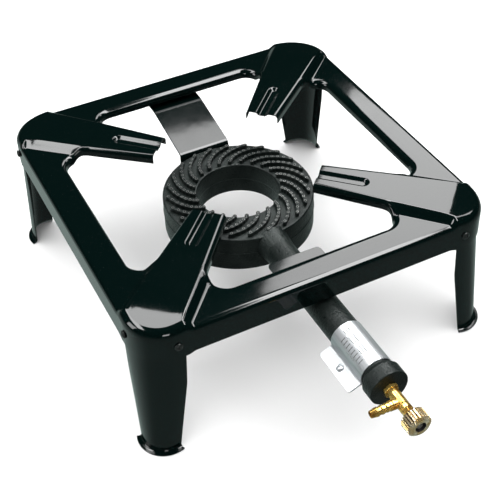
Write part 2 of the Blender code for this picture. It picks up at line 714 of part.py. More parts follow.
def add_casting():
    """Ring, mixing tube and end flange in one hollow iron casting."""
    casting = add_part("burner_casting", turned_mesh("ring", ring_profile(0), 40, closed=True), IRON)
    flange_back = TUBE_END - END_FLANGE_LENGTH
    tube_profile = [
        (0, TUBE_END),
        (END_FLANGE_RADIUS - 1.5 * MM, TUBE_END),
        (END_FLANGE_RADIUS, TUBE_END - 1.5 * MM),
        (END_FLANGE_RADIUS, flange_back),
        (TUBE_RADIUS, flange_back - 5 * MM),
        (TUBE_RADIUS, RING_RADIUS - 6 * MM),
        (0, RING_RADIUS - 6 * MM),
    ]
    axis = (0, 0, TUBE_AXIS)
    tube = add_tool("tube", turned_mesh("tube", tube_profile, 24), axis, UP_TO_FRONT)
    pad_height = (TUBE_RADIUS - 8 * MM, TUBE_RADIUS)
    pad = add_tool(
        "tube_pad",
        prism_mesh("tube_pad", 16, 2 * TUBE_BOSS_RADIUS, *pad_height),
        (0, -TUBE_SCREW_AT, TUBE_AXIS),
    )
    boss = add_tool(
        "ring_boss",
        prism_mesh("ring_boss", 16, 2 * RING_BOSS_RADIUS, RING_RADIUS - 3.5 * MM, RING_RADIUS + RING_BOSS_REACH),
        (0, 0, RING_BOSS_AT),
        (-math.pi / 2, 0, 0),
    )
    for tool in (add_tool("ridges", ridge_mesh()), tube, pad, boss):
        combine(casting, tool, "UNION")

    bore = TUBE_RADIUS - CAST_WALL
    bore_profile = [
        (0, TUBE_END - END_FLANGE_WALL),
        (bore, TUBE_END - END_FLANGE_WALL),
        (bore, RING_RADIUS - CAST_WALL - 6 * MM),
        (0, RING_RADIUS - CAST_WALL - 6 * MM),
    ]
    hollow = add_tool("ring_hollow", turned_mesh("ring_hollow", ring_profile(CAST_WALL), 40, closed=True))
    tube_hollow = add_tool("tube_hollow", turned_mesh("tube_hollow", bore_profile, 24), axis, UP_TO_FRONT)
    window_end = -(SLEEVE_FRONT - 3 * MM)
    half = AIR_WINDOW_WIDTH / 2
    windows = box_mesh(
        "air_windows",
        (-TUBE_RADIUS - 2 * MM, window_end, -half),
        (TUBE_RADIUS + 2 * MM, window_end + AIR_WINDOW_LENGTH, half),
    )
    injector_hole = cylinders_mesh("injector_hole", [Matrix()], INJECTOR_RADIUS + THREAD_GAP, 10 * MM)
    screw_hole = cylinders_mesh("screw_hole", [Matrix()], CAST_SCREW_RADIUS + THREAD_GAP, 8 * MM)
    cuts = (
        hollow,
        tube_hollow,
        add_tool("air_windows", windows, axis),
        add_tool("injector_hole", injector_hole, (0, -TUBE_END, TUBE_AXIS), UP_TO_FRONT),
        add_tool("tube_screw_hole", screw_hole, (0, -TUBE_SCREW_AT, TUBE_AXIS + TUBE_RADIUS)),
        add_tool("ring_screw_hole", screw_hole, (0, RING_RADIUS + 2 * MM, RING_BOSS_AT), UP_TO_FRONT),
    )
    for tool in cuts:
        combine(casting, tool, "DIFFERENCE")


# ---------------------------------------------------------------- air sleeve
def add_sleeve():
    """A sheet wrapped round the air windows, its two ends clamped together as a tab on the left."""
    slide = bpy.data.objects.new("air_sleeve_slide", None)
    parts.objects.link(slide)
    slide.location = (0, -SLEEVE_MID, TUBE_AXIS)
    slide.rotation_euler = (0, math.pi - SLEEVE_TAB_DROP, 0)
    slide.parent = stand

    radius = TUBE_RADIUS + SLEEVE_CLEARANCE + SLEEVE_SHEET / 2
    layer = SLEEVE_SHEET / 2 + GAP / 2
    opening = math.radians(6)
    turns = 30
    rows = []
    for y, corner in ((-1, SLEEVE_TAB_CORNER), (-0.9, 0), (0.9, 0), (1, SLEEVE_TAB_CORNER)):
        tab_end = radius + SLEEVE_TAB_REACH - corner
        row = [(tab_end, -layer), (radius + 1.5 * MM, -layer)]
        for i in range(turns + 1):
            angle = -opening - (2 * math.pi - 2 * opening) * i / turns
            row.append((radius * math.cos(angle), radius * math.sin(angle)))
        row += [(radius + 1.5 * MM, layer), (tab_end, layer)]
        rows.append([Vector((x, y * SLEEVE_LENGTH / 2, z)) for x, z in row])
    mesh = smooth(evaluated_mesh(sheet_object("air_sleeve", rows, SLEEVE_SHEET, 0)), 40)
    sleeve = add_part("air_sleeve", mesh, ZINC, parent=slide)

    screw_x = radius + SLEEVE_TAB_REACH / 2
    hole = cylinders_mesh("sleeve_hole", [Matrix()], SLEEVE_SCREW_RADIUS + THREAD_GAP, 4 * MM)
    tool = add_tool("sleeve_hole", hole, (screw_x, 0, 0))
    tool.parent = slide
    combine(sleeve, tool, "DIFFERENCE")

    outside = SLEEVE_SHEET + 1.5 * GAP
    length = 2 * outside + SLEEVE_NUT_THICK + GAP
    screw = pan_screw_mesh("sleeve_screw", SLEEVE_SCREW_RADIUS, SLEEVE_HEAD_RADIUS, SLEEVE_HEAD_HEIGHT, length)
    add_part("sleeve_screw", screw, ZINC, (screw_x, 0, -outside), (math.pi, 0, 0), slide)
    nut = prism_mesh("sleeve_nut", 6, SLEEVE_NUT_ACROSS, outside, outside + SLEEVE_NUT_THICK)
    nut = bored_mesh("sleeve_nut", nut, SLEEVE_SCREW_RADIUS + THREAD_GAP, 0, outside + 2 * SLEEVE_NUT_THICK)
    add_part("sleeve_nut", nut, ZINC, (screw_x, 0, 0), parent=slide)


# ---------------------------------------------------------------- valve
def hollow_nut(name, across, low, high, bore):
    return bored_mesh(name, prism_mesh(name, 6, across, low, high), bore, low - MM, high + MM)


def add_injector_and_valve(axis):
    """Injector in the end flange, then the valve: nut, body with its side inlet, packing and gland nut."""
    bore = SPINDLE_RADIUS + SPINDLE_CLEARANCE
    injector = [
        (INJECTOR_RADIUS, TUBE_END),
        (INJECTOR_RADIUS, TUBE_END - INJECTOR_LENGTH * 0.6),
        (INJECTOR_RADIUS * 0.55, TUBE_END - INJECTOR_LENGTH),
        (0.5 * MM, TUBE_END - INJECTOR_LENGTH),
        (0.5 * MM, TUBE_END - INJECTOR_LENGTH * 0.8),
        (INJECTOR_RADIUS * 0.5, TUBE_END - INJECTOR_LENGTH * 0.7),
        (INJECTOR_RADIUS * 0.5, TUBE_END),
    ]
    add_part("injector", turned_mesh("injector", injector, 16, closed=True), BRASS, axis, UP_TO_FRONT)

    nut_low = TUBE_END + GAP
    body_low = nut_low + LOCK_NUT_THICK + GAP
    body_high = body_low + VALVE_LENGTH
    nut = hollow_nut("lock_nut", LOCK_NUT_ACROSS, nut_low, body_low - GAP, INJECTOR_RADIUS + THREAD_GAP)
    add_part("lock_nut", nut, BRASS, axis, UP_TO_FRONT)

    seat = SPINDLE_RADIUS * 0.6
    pocket = PACKING_RADIUS + THREAD_GAP
    pocket_low = body_high - PACKING_LENGTH - GAP
    body = [
        (VALVE_RADIUS - 0.5 * MM, body_high),
        (VALVE_RADIUS, body_high - 0.5 * MM),
        (VALVE_RADIUS, body_low),
        (INJECTOR_RADIUS, body_low),
        (INJECTOR_RADIUS, nut_low),
        (seat, nut_low),
        (seat, body_low + 4 * MM),
        (bore, body_low + 6 * MM),
        (bore, pocket_low),
        (pocket, pocket_low),
        (pocket, body_high),
    ]
    valve = add_part("valve_body", turned_mesh("valve_body", body, 20, closed=True), BRASS, axis, UP_TO_FRONT)
    inlet_at = (0, -(body_low + BARB_AT), TUBE_AXIS)
    inlet_radius = VALVE_RADIUS - MM
    boss_reach = VALVE_RADIUS + 3 * MM
    boss = prism_mesh("inlet_boss", 20, 2 * inlet_radius, bore + MM, boss_reach)
    combine(valve, add_tool("inlet_boss", boss, inlet_at, UP_TO_LEFT), "UNION")
    inlet = prism_mesh("inlet_bore", 12, 2 * BARB_BORE, 0, boss_reach + MM)
    combine(valve, add_tool("inlet_bore", inlet, inlet_at, UP_TO_LEFT), "DIFFERENCE")

    barb_low = boss_reach + GAP
    barb = [(BARB_RADIUS - 0.6 * MM, BARB_REACH)]
    barb_pitch = (BARB_REACH - barb_low - 3 * MM) / BARB_COUNT
    for i in range(BARB_COUNT):
        step = BARB_REACH - barb_pitch * (i + 0.85)
        barb += [(BARB_RADIUS + BARB_RIDGE, step + MM), (BARB_RADIUS + BARB_RIDGE, step), (BARB_RADIUS, step)]
    barb += [
        (BARB_RADIUS, barb_low + 2 * MM),
        (inlet_radius, barb_low + 2 * MM),
        (inlet_radius, barb_low),
        (BARB_BORE, barb_low),
        (BARB_BORE, BARB_REACH),
    ]
    add_part("hose_barb", turned_mesh("hose_barb", barb, 20, closed=True), BRASS, inlet_at, UP_TO_LEFT)

    packing = [
        (PACKING_RADIUS, body_high - GAP),
        (PACKING_RADIUS, pocket_low + GAP),
        (bore + THREAD_GAP, pocket_low + GAP),
        (bore + THREAD_GAP, body_high - GAP),
    ]
    add_part("packing_ring", turned_mesh("packing_ring", packing, 16, closed=True), GRAPHITE, axis, UP_TO_FRONT)
    gland_low = body_high + GAP
    gland = hollow_nut("gland_nut", GLAND_ACROSS, gland_low, gland_low + GLAND_LENGTH, SPINDLE_RADIUS + THREAD_GAP)
    add_part("gland_nut", gland, BRASS, axis, UP_TO_FRONT)
    return body_low


def add_spindle_and_knob(axis, body_low):
    """The needle spindle and the fluted knob on its end, held by a screw."""
    hub = KNOB_BACK + KNOB_LENGTH * 0.55
    screw_bore = KNOB_SCREW_RADIUS + THREAD_GAP
    spindle = [
        (0, hub - 5 * MM),
        (screw_bore, hub - 5 * MM),
        (screw_bore, hub),
        (SPINDLE_RADIUS, hub),
        (SPINDLE_RADIUS, body_low + 7 * MM),
        (SPINDLE_RADIUS * 0.3, body_low + 4.5 * MM),
        (0, body_low + 4.5 * MM),
    ]
    add_part("spindle", turned_mesh("spindle", spindle, 16), BRASS, axis, UP_TO_FRONT)

    floor = KNOB_BACK + KNOB_LENGTH - KNOB_RECESS_DEPTH
    knob_front = KNOB_BACK + KNOB_LENGTH
    spindle_bore = SPINDLE_RADIUS + THREAD_GAP
    section = [
        (spindle_bore, KNOB_BACK, 0),
        (spindle_bore, hub + GAP, 0),
        (screw_bore, hub + GAP, 0),
        (screw_bore, floor, 0),
        (KNOB_RECESS_RADIUS, floor, 0),
        (KNOB_RECESS_RADIUS, knob_front, 0),
        (KNOB_RADIUS - 2 * MM, knob_front, 0),
        (KNOB_RADIUS, knob_front - 1.5 * MM, KNOB_FLUTE_DEPTH),
        (KNOB_RADIUS, KNOB_BACK + MM, KNOB_FLUTE_DEPTH),
        (KNOB_RADIUS - 2 * MM, KNOB_BACK, 0),
    ]
    mesh = bpy.data.meshes.new("knob")
    bm = bmesh.new()
    count = 2 * KNOB_FLUTES
    rings = []
    for radius, height, flute in section:
        ring = []
        for i in range(count):
            angle = 2 * math.pi * i / count
            out = radius - flute * (i % 2)
            ring.append(bm.verts.new((out * math.cos(angle), out * math.sin(angle), height)))
        rings.append(ring)
    for near, far in zip(rings, rings[1:] + rings[:1]):
        for i in range(count):
            k = (i + 1) % count
            bm.faces.new((near[i], far[i], far[k], near[k]))
    bmesh.ops.recalc_face_normals(bm, faces=bm.faces)
    bm.to_mesh(mesh)
    bm.free()
    add_part("knob", mesh, NICKEL, axis, UP_TO_FRONT)
    screw = pan_screw_mesh("knob_screw", KNOB_SCREW_RADIUS, KNOB_SCREW_HEAD, 1.6 * MM, floor - hub + 3 * MM)
    add_part("knob_screw", screw, BLACK_STEEL, (0, -(floor + GAP), TUBE_AXIS), UP_TO_FRONT)


def add_valve():
    axis = (0, 0, TUBE_AXIS)
    body_low = add_injector_and_valve(axis)
    add_spindle_and_knob(axis, body_low)


clear_scene()
parts = make_collection("propane_burner_stand")
tools = make_collection("cutters")
stand = bpy.data.objects.new("stand_centre", None)
stand.location = (0, STAND_Y, 0)
parts.objects.link(stand)

top_frame_object()
add_legs()
add_rear_bracket()
add_front_bracket()
add_casting()
add_sleeve()
add_valve()
bpy.context.view_layer.update()
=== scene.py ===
import math

import bmesh
import bpy
from mathutils import Matrix, Vector


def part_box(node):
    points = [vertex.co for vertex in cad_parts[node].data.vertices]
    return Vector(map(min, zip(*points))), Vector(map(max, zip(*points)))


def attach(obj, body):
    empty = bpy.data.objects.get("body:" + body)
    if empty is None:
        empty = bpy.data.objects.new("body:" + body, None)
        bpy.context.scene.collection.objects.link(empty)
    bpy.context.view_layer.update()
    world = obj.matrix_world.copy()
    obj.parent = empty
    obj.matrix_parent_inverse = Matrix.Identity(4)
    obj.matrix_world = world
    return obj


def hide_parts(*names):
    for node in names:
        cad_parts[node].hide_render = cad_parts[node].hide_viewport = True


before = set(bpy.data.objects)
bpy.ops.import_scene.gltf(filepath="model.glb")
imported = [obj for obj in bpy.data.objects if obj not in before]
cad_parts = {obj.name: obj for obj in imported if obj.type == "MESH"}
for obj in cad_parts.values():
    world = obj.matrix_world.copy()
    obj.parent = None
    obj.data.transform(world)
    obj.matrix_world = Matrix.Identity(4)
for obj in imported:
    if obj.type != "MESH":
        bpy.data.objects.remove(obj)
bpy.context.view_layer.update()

frameLow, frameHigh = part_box("top_frame")
middleY = (frameLow.y + frameHigh.y) / 2  # the frame's centre, which everything is built round
print("frame loaded, its middle at y =", round(middleY, 4))


# small helpers for working as by hand
def deselectAll():
    if bpy.context.object and bpy.context.object.mode != "OBJECT":
        bpy.ops.object.mode_set(mode="OBJECT")
    bpy.ops.object.select_all(action="DESELECT")


def pick(piece):
    deselectAll()
    bpy.context.view_layer.objects.active = piece
    piece.select_set(True)


def editSelected(piece, faces=None, edges=None, verts=None):
    # edit mode with only the faces, edges or points that the test picks
    pick(piece)
    mesh = piece.data
    mode = "FACE" if faces else "EDGE" if edges else "VERT"
    bpy.ops.object.mode_set(mode="EDIT")
    bpy.ops.mesh.select_mode(type=mode)
    bpy.ops.mesh.select_all(action="DESELECT")
    bpy.ops.object.mode_set(mode="OBJECT")
    if faces:
        for face in mesh.polygons:
            face.select = bool(faces(face))
    if edges:
        for edge in mesh.edges:
            a, b = (mesh.vertices[i].co for i in edge.vertices)
            edge.select = bool(edges(a, b))
    if verts:
        for vert in mesh.vertices:
            vert.select = bool(verts(vert.co))
    bpy.ops.object.mode_set(mode="EDIT")


def modify(piece, kind, **settings):
    pick(piece)
    modifier = piece.modifiers.new(kind.lower(), kind)
    for name, value in settings.items():
        setattr(modifier, name, value)
    if hasattr(modifier, "render_levels"):
        modifier.render_levels = modifier.levels
    bpy.ops.object.modifier_apply(modifier=modifier.name)


def softenEdges(piece, width, segments=2, angle=30):
    modify(piece, "BEVEL", width=width, segments=segments, limit_method="ANGLE",
           angle_limit=math.radians(angle), use_clamp_overlap=True)


def combine(piece, tool, operation):
    modify(piece, "BOOLEAN", object=tool, operation=operation, solver="EXACT")
    bpy.data.objects.remove(tool, do_unlink=True)


def joinPieces(pieces):
    deselectAll()
    for piece in pieces:
        piece.select_set(True)
    bpy.context.view_layer.objects.active = pieces[0]
    bpy.ops.object.join()
    bpy.ops.object.transform_apply(location=True, rotation=True, scale=True)
    return pieces[0]


def placed(piece, at=(0, 0, 0), turn=(0, 0, 0)):
    pick(piece)
    piece.location = at
    piece.rotation_euler = turn
    bpy.ops.object.transform_apply(location=True, rotation=True, scale=True)
    return piece


def copyOf(piece, name):
    twin = piece.copy()
    twin.data = piece.data.copy()
    twin.name = name
    bpy.context.scene.collection.objects.link(twin)
    return twin


def cylinder(steps, radius, depth, at=(0, 0, 0)):
    deselectAll()
    bpy.ops.mesh.primitive_cylinder_add(vertices=steps, radius=radius, depth=depth, location=at)
    return bpy.context.object


def turned(name, profile, steps=64, closed=False):
    # a circle carried along the profile of (radius, height) by extrude and resize, then capped or closed
    deselectAll()
    radius, height = profile[0]
    bpy.ops.mesh.primitive_circle_add(vertices=steps, radius=radius, location=(0, 0, height))
    piece = bpy.context.object
    piece.name = name
    bpy.ops.object.transform_apply(location=True)
    bpy.ops.object.mode_set(mode="EDIT")
    bpy.ops.mesh.select_mode(type="VERT")
    bpy.ops.mesh.select_all(action="SELECT")
    if not closed:
        bpy.ops.mesh.edge_face_add()
        bpy.ops.mesh.select_all(action="SELECT")
    for newRadius, newHeight in profile[1:]:
        bpy.ops.mesh.extrude_region_move(TRANSFORM_OT_translate={"value": (0, 0, newHeight - height)})
        scale = newRadius / radius
        bpy.ops.transform.resize(value=(scale, scale, 1), center_override=(0, 0, newHeight))
        radius, height = newRadius, newHeight
    if closed:
        bpy.ops.mesh.select_all(action="DESELECT")
        bpy.ops.mesh.select_mode(type="EDGE")
        bpy.ops.mesh.select_non_manifold()
        bpy.ops.mesh.bridge_edge_loops()
    bpy.ops.mesh.select_all(action="SELECT")
    bpy.ops.mesh.normals_make_consistent(inside=False)
    bpy.ops.object.mode_set(mode="OBJECT")
    return piece


def roundedProfile(points, radius, steps=4):
    # the same profile with each inner corner taken off by an arc
    made = [points[0]]
    for before, corner, after in zip(points, points[1:], points[2:]):
        corner = Vector(corner)
        back, ahead = Vector(before) - corner, Vector(after) - corner
        if back.length < 1e-7 or ahead.length < 1e-7:
            continue
        half = back.angle(ahead) / 2
        reach = min(radius / math.tan(half), back.length * 0.48, ahead.length * 0.48)
        start, end = corner + back.normalized() * reach, corner + ahead.normalized() * reach
        for i in range(steps + 1):
            t = i / steps
            made.append(tuple(start * (1 - t) ** 2 + corner * 2 * t * (1 - t) + end * t ** 2))
    return made + [points[-1]]


def gridSheet(name, grids, weld=2e-6):
    # sheet metal drawn as rows of points, which no primitive gives
    mesh = bpy.data.meshes.new(name)
    bm = bmesh.new()
    for rows in grids:
        made = [[bm.verts.new(point) for point in row] for row in rows]
        for low, high in zip(made, made[1:]):
            for i in range(len(low) - 1):
                bm.faces.new((low[i], low[i + 1], high[i + 1], high[i]))
    bmesh.ops.remove_doubles(bm, verts=bm.verts, dist=weld)
    bm.to_mesh(mesh)
    bm.free()
    piece = bpy.data.objects.new(name, mesh)
    bpy.context.scene.collection.objects.link(piece)
    return piece


def finished(piece, name, body, material, nodes=(), angle=35):
    pick(piece)
    bpy.ops.object.shade_smooth_by_angle(angle=math.radians(angle))
    modify(piece, "WEIGHTED_NORMAL", keep_sharp=True, weight=80)
    piece.name = name
    piece.data.name = name
    piece.data.materials.clear()
    piece.data.materials.append(material)
    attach(piece, body)
    if nodes:
        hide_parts(*nodes)
    return piece


def faceOutward(piece):
    editSelected(piece, faces=lambda face: True)
    bpy.ops.mesh.normals_make_consistent(inside=False)
    bpy.ops.object.mode_set(mode="OBJECT")


def mix(low, high, share):
    return low + (high - low) * share


# finishes
def newMaterial(name, colour, roughness, metallic=0.0):
    material = bpy.data.materials.new(name)
    material.use_nodes = True
    nodes, links = material.node_tree.nodes, material.node_tree.links
    shader = nodes["Principled BSDF"]
    shader.inputs["Base Color"].default_value = (*colour, 1)
    shader.inputs["Roughness"].default_value = roughness
    shader.inputs["Metallic"].default_value = metallic
    place = nodes.new("ShaderNodeTexCoord").outputs["Object"]
    return material, nodes, links, shader, place


def noiseOf(nodes, links, place, scale, detail=2.0, stretch=None):
    if stretch:
        mapping = nodes.new("ShaderNodeMapping")
        mapping.inputs["Scale"].default_value = stretch
        links.new(place, mapping.inputs["Vector"])
        place = mapping.outputs["Vector"]
    noise = nodes.new("ShaderNodeTexNoise")
    noise.inputs["Scale"].default_value = scale
    noise.inputs["Detail"].default_value = detail
    links.new(place, noise.inputs["Vector"])
    return noise.outputs["Fac"]


def rampOf(nodes, links, factor, stops):
    ramp = nodes.new("ShaderNodeValToRGB")
    while len(ramp.color_ramp.elements) < len(stops):
        ramp.color_ramp.elements.new(0.5)
    for element, (position, colour) in zip(ramp.color_ramp.elements, stops):
        element.position = position
        element.color = (*colour, 1) if len(colour) == 3 else (colour[0],) * 3 + (1,)
    links.new(factor, ramp.inputs["Fac"])
    return ramp.outputs["Color"]


def bumpFrom(nodes, links, shader, height, distance, strength=1.0):
    bump = nodes.new("ShaderNodeBump")
    bump.inputs["Distance"].default_value = distance
    bump.inputs["Strength"].default_value = strength
    links.new(height, bump.inputs["Height"])
    links.new(bump.outputs["Normal"], shader.inputs["Normal"])


def placeMaths(material):
    # a maths node for each call of op, and the place on the piece that the sums start from
    nodes, links = material.node_tree.nodes, material.node_tree.links
    split = nodes.new("ShaderNodeSeparateXYZ")
    links.new(nodes.new("ShaderNodeTexCoord").outputs["Object"], split.inputs["Vector"])

    def op(operation, *values):
        node = nodes.new("ShaderNodeMath")
        node.operation = operation
        for socket, value in zip(node.inputs, values):
            if isinstance(value, (int, float)):
                socket.default_value = value
            else:
                links.new(value, socket)
        return node.outputs["Value"]

    return op, split.outputs["X"], split.outputs["Y"], split.outputs["Z"]


def paintOver(material, share, colour):
    # another colour laid over the base colour, as strongly as the share says
    nodes, links = material.node_tree.nodes, material.node_tree.links
    blend = nodes.new("ShaderNodeMix")
    blend.data_type = "RGBA"
    blend.inputs["B"].default_value = (*colour, 1)
    top = nodes["Principled BSDF"].inputs["Base Color"]
    links.new(top.links[0].from_socket, blend.inputs["A"])
    links.new(share, blend.inputs["Factor"])
    links.new(blend.outputs["Result"], top)


enamelLook = {
    "colour": (0.0006, 0.0034, 0.0031), "roughness": 0.07, "specular": 0.62, "rippleScale": 55,
    "ripple": 0.00006, "speckScale": 900, "speck": (0.03, 0.035, 0.033), "blotchScale": 14,
}


def makeEnamel():
    look = enamelLook
    colour, roughness = look["colour"], look["roughness"]
    material, nodes, links, shader, place = newMaterial("blackEnamel", colour, roughness)
    shader.inputs["Specular IOR Level"].default_value = look["specular"]
    ripple = noiseOf(nodes, links, place, look["rippleScale"], 1.5)
    bumpFrom(nodes, links, shader, ripple, look["ripple"], 0.6)
    specks = noiseOf(nodes, links, place, look["speckScale"], 1)
    dust = rampOf(nodes, links, specks, [(0.0, colour), (0.74, colour), (0.80, look["speck"])])
    links.new(dust, shader.inputs["Base Color"])
    blotch = noiseOf(nodes, links, place, look["blotchScale"], 3)
    rough = rampOf(nodes, links, blotch, [(0.3, (roughness * 0.7,)), (0.75, (roughness * 1.5,))])
    links.new(rough, shader.inputs["Roughness"])
    return material


castIronLook = {
    "dark": (0.0013, 0.0044, 0.0039), "pale": (0.012, 0.017, 0.0155), "metal": 0.35, "toneScale": 38,
    "sandScale": 520, "grain": 0.0006, "smooth": 0.27, "coarse": 0.55,
}


def makeCastIron():
    look = castIronLook
    dark, coarse = look["dark"], look["coarse"]
    material, nodes, links, shader, place = newMaterial("castIron", dark, coarse, look["metal"])
    broad = noiseOf(nodes, links, place, look["toneScale"], 5)
    tone = rampOf(nodes, links, broad, [(0.35, dark), (0.62, look["pale"])])
    links.new(tone, shader.inputs["Base Color"])
    sand = noiseOf(nodes, links, place, look["sandScale"], 4)
    bumpFrom(nodes, links, shader, sand, look["grain"], 1.0)
    rough = rampOf(nodes, links, sand, [(0.35, (look["smooth"],)), (0.65, (coarse,))])
    links.new(rough, shader.inputs["Roughness"])
    return material


zincLook = {
    "bright": (0.76, 0.78, 0.80), "dull": (0.42, 0.45, 0.47), "metal": 0.85, "streakScale": 160,
    "polished": 0.26, "matt": 0.44, "ripple": 0.00002,
}


def makeZinc(name, stretch):
    look = zincLook
    material, nodes, links, shader, place = newMaterial(name, look["bright"], look["polished"], look["metal"])
    rolled = noiseOf(nodes, links, place, look["streakScale"], 6, stretch)
    tone = rampOf(nodes, links, rolled, [(0.35, look["dull"]), (0.62, look["bright"])])
    links.new(tone, shader.inputs["Base Color"])
    rough = rampOf(nodes, links, rolled, [(0.35, (look["matt"],)), (0.65, (look["polished"],))])
    links.new(rough, shader.inputs["Roughness"])
    bumpFrom(nodes, links, shader, rolled, look["ripple"], 0.5)
    return material


printLook = {  # turns are angles from straight up, spans are lengths from the sleeve's front end
    "ink": (0.05, 0.055, 0.06), "strength": 0.8, "axis": 0.110, "frontEnd": 0.289,
    "tickPitch": 0.0045, "tickWidth": 0.0010, "tickTurn": (0.62, 0.98), "tickSpan": (0.008, 0.045),
    "linePitch": 0.15, "lineWidth": 0.05, "lineTurn": (0.0, 0.5), "lineSpan": (0.010, 0.048),
    "dashPitch": 1 / 70, "dashLength": 0.01,
}


def printMarks(material):
    # plain setting marks: a row of ticks and a few broken lines along the sleeve
    look = printLook
    op, x, y, z = placeMaths(material)
    along = op("SUBTRACT", y, middleY - look["frontEnd"])
    turn = op("ARCTAN2", op("MULTIPLY", x, -1), op("SUBTRACT", z, look["axis"]))

    def inside(value, low, high):
        return op("MULTIPLY", op("GREATER_THAN", value, low), op("LESS_THAN", value, high))

    def repeats(value, pitch, width):
        return op("LESS_THAN", op("MODULO", value, pitch), width)

    rows = repeats(along, look["tickPitch"], look["tickWidth"])
    area = op("MULTIPLY", inside(turn, *look["tickTurn"]), inside(along, *look["tickSpan"]))
    ticks = op("MULTIPLY", rows, area)
    dashes = repeats(along, look["dashPitch"], look["dashLength"])
    rows = op("MULTIPLY", dashes, repeats(turn, look["linePitch"], look["lineWidth"]))
    area = op("MULTIPLY", inside(turn, *look["lineTurn"]), inside(along, *look["lineSpan"]))
    lines = op("MULTIPLY", rows, area)
    paintOver(material, op("MINIMUM", op("ADD", ticks, lines), look["strength"]), look["ink"])


brassLook = {"bright": (0.90, 0.62, 0.17), "deep": (0.46, 0.23, 0.04), "metal": 0.85, "roughness": 0.16}
knobLook = {"bright": (0.94, 0.84, 0.60), "deep": (0.78, 0.55, 0.22), "metal": 0.82, "roughness": 0.15}
# colour of the painted shade in the knob's flutes
fluteShadeColour = (0.09, 0.045, 0.015)
brassGrain = {"stainScale": 130, "toolScale": 900, "toolStretch": (0.2, 1.0, 0.2), "toolDepth": 0.00002}


def makeBrass(name, look):
    grain, roughness = brassGrain, look["roughness"]
    material, nodes, links, shader, place = newMaterial(name, look["bright"], roughness, look["metal"])
    stain = noiseOf(nodes, links, place, grain["stainScale"], 4)
    tone = rampOf(nodes, links, stain, [(0.36, look["deep"]), (0.6, look["bright"])])
    links.new(tone, shader.inputs["Base Color"])
    tool = noiseOf(nodes, links, place, grain["toolScale"], 2, grain["toolStretch"])
    bumpFrom(nodes, links, shader, tool, grain["toolDepth"], 0.5)
    rough = rampOf(nodes, links, stain, [(0.3, (roughness * 1.5,)), (0.7, (roughness * 0.8,))])
    links.new(rough, shader.inputs["Roughness"])
    return material


def paintFluteShade(material, axisHeight, deep, proud):
    # painted shade in the knob's flutes, darker the deeper a point lies towards its axis
    op, x, y, z = placeMaths(material)
    height = op("SUBTRACT", z, axisHeight)
    reach = op("SQRT", op("ADD", op("MULTIPLY", x, x), op("MULTIPLY", height, height)))
    share = op("DIVIDE", op("SUBTRACT", proud, reach), proud - deep)
    paintOver(material, op("MINIMUM", op("MAXIMUM", share, 0), 1), fluteShadeColour)


plainLooks = {  # name: colour, roughness, metal, grain
    # paler metal for the burner's port rims: a painted highlight
    "rimHighlightIron": ((0.30, 0.31, 0.30), 0.3, 0.8, 0.00003),
    "blackSteel": ((0.012, 0.015, 0.014), 0.28, 0.1, 0.00002),
    "darkSteel": ((0.35, 0.33, 0.30), 0.3, 0.8, 0.00003),
    # near-black painted shade for the knob's front recess
    "recessShade": ((0.006, 0.005, 0.005), 0.5, 0.0, 0.00002),
    "graphite": ((0.03, 0.03, 0.032), 0.7, 0.0, 0.00005),
}
wearScale = 300


def makePlain(name):
    colour, roughness, metal, grain = plainLooks[name]
    material, nodes, links, shader, place = newMaterial(name, colour, roughness, metal)
    worn = noiseOf(nodes, links, place, wearScale, 3)
    paler = tuple(min(1, c * 1.8 + 0.01) for c in colour)
    links.new(rampOf(nodes, links, worn, [(0.45, colour), (0.8, paler)]), shader.inputs["Base Color"])
    bumpFrom(nodes, links, shader, worn, grain, 0.5)
    return material


blackEnamel = makeEnamel()
castIron = makeCastIron()
sleeveZinc = makeZinc("sleeveZinc", (1.0, 0.06, 1.0))
printMarks(sleeveZinc)
screwZinc = makeZinc("screwZinc", (1.0, 1.0, 1.0))
yellowBrass = makeBrass("yellowBrass", brassLook)
knobPlate = makeBrass("knobPlate", knobLook)
rimHighlightIron, blackSteel, darkSteel, recessShade, graphite = (makePlain(name) for name in plainLooks)
print("finishes made")


# top frame: one stamping with four pot arms
topFrame = {
    "half": 0.200, "corner": 0.042, "railTop": 0.1603, "railWidth": 0.034, "sheet": 0.0012,
    "skirtBottom": 0.130, "cornerDrop": 0.0025, "edge": 0.006, "cornerEdge": 0.010,
    "roll": 0.007, "flangeBottom": 0.150, "arc": 0.024,
    "armTop": 0.1676, "tip": 0.0915, "tipHalf": 0.0145, "flare": 0.0855, "armRoll": 0.005,
    "armFlange": 0.157, "flank": 0.012, "bend": 0.235, "bendSlope": 0.17, "bendSoft": 0.007,
    "groove": 0.056, "grooveDepth": 0.003, "grooveHalf": 0.0075, "grooveFloor": 0.4,
    "grooveStep": 0.0007, "flankOut": 0.010, "flankPast": 0.0055, "edgeSoft": 0.00035,
}


def cornerOutline(u, radius):
    centre = topFrame["half"] - topFrame["corner"]
    quarter = radius * math.pi / 4
    arc = max(-quarter, min(quarter, u))
    angle = math.pi / 4 + arc / radius
    normal = Vector((math.cos(angle), math.sin(angle)))
    along = Vector((-math.sin(angle), math.cos(angle)))
    return Vector((centre, centre)) + radius * normal + (u - arc) * along, normal


def armHalf(s):
    return topFrame["tipHalf"] + topFrame["flare"] * (s - topFrame["tip"])


def armHeight(s, w):
    spec = topFrame
    past = s - spec["bend"]
    soft = spec["bendSoft"]
    fall = 0 if past < -soft else (past + soft) ** 2 / (4 * soft) if past < soft else past
    height = spec["armTop"] - spec["bendSlope"] * fall
    end = spec["tip"] + spec["groove"] - spec["grooveHalf"]
    off = math.hypot(max(0, s - end), w) / spec["grooveHalf"]
    wall = max(0, min(1, (1 - off) / (1 - spec["grooveFloor"])))
    return height - spec["grooveDepth"] * wall * wall * (3 - 2 * wall)


def framePoint(plan, climb):
    s, w = (plan.x + plan.y) / math.sqrt(2), (plan.y - plan.x) / math.sqrt(2)
    return Vector((plan.x, plan.y, mix(topFrame["railTop"], armHeight(s, w), climb)))


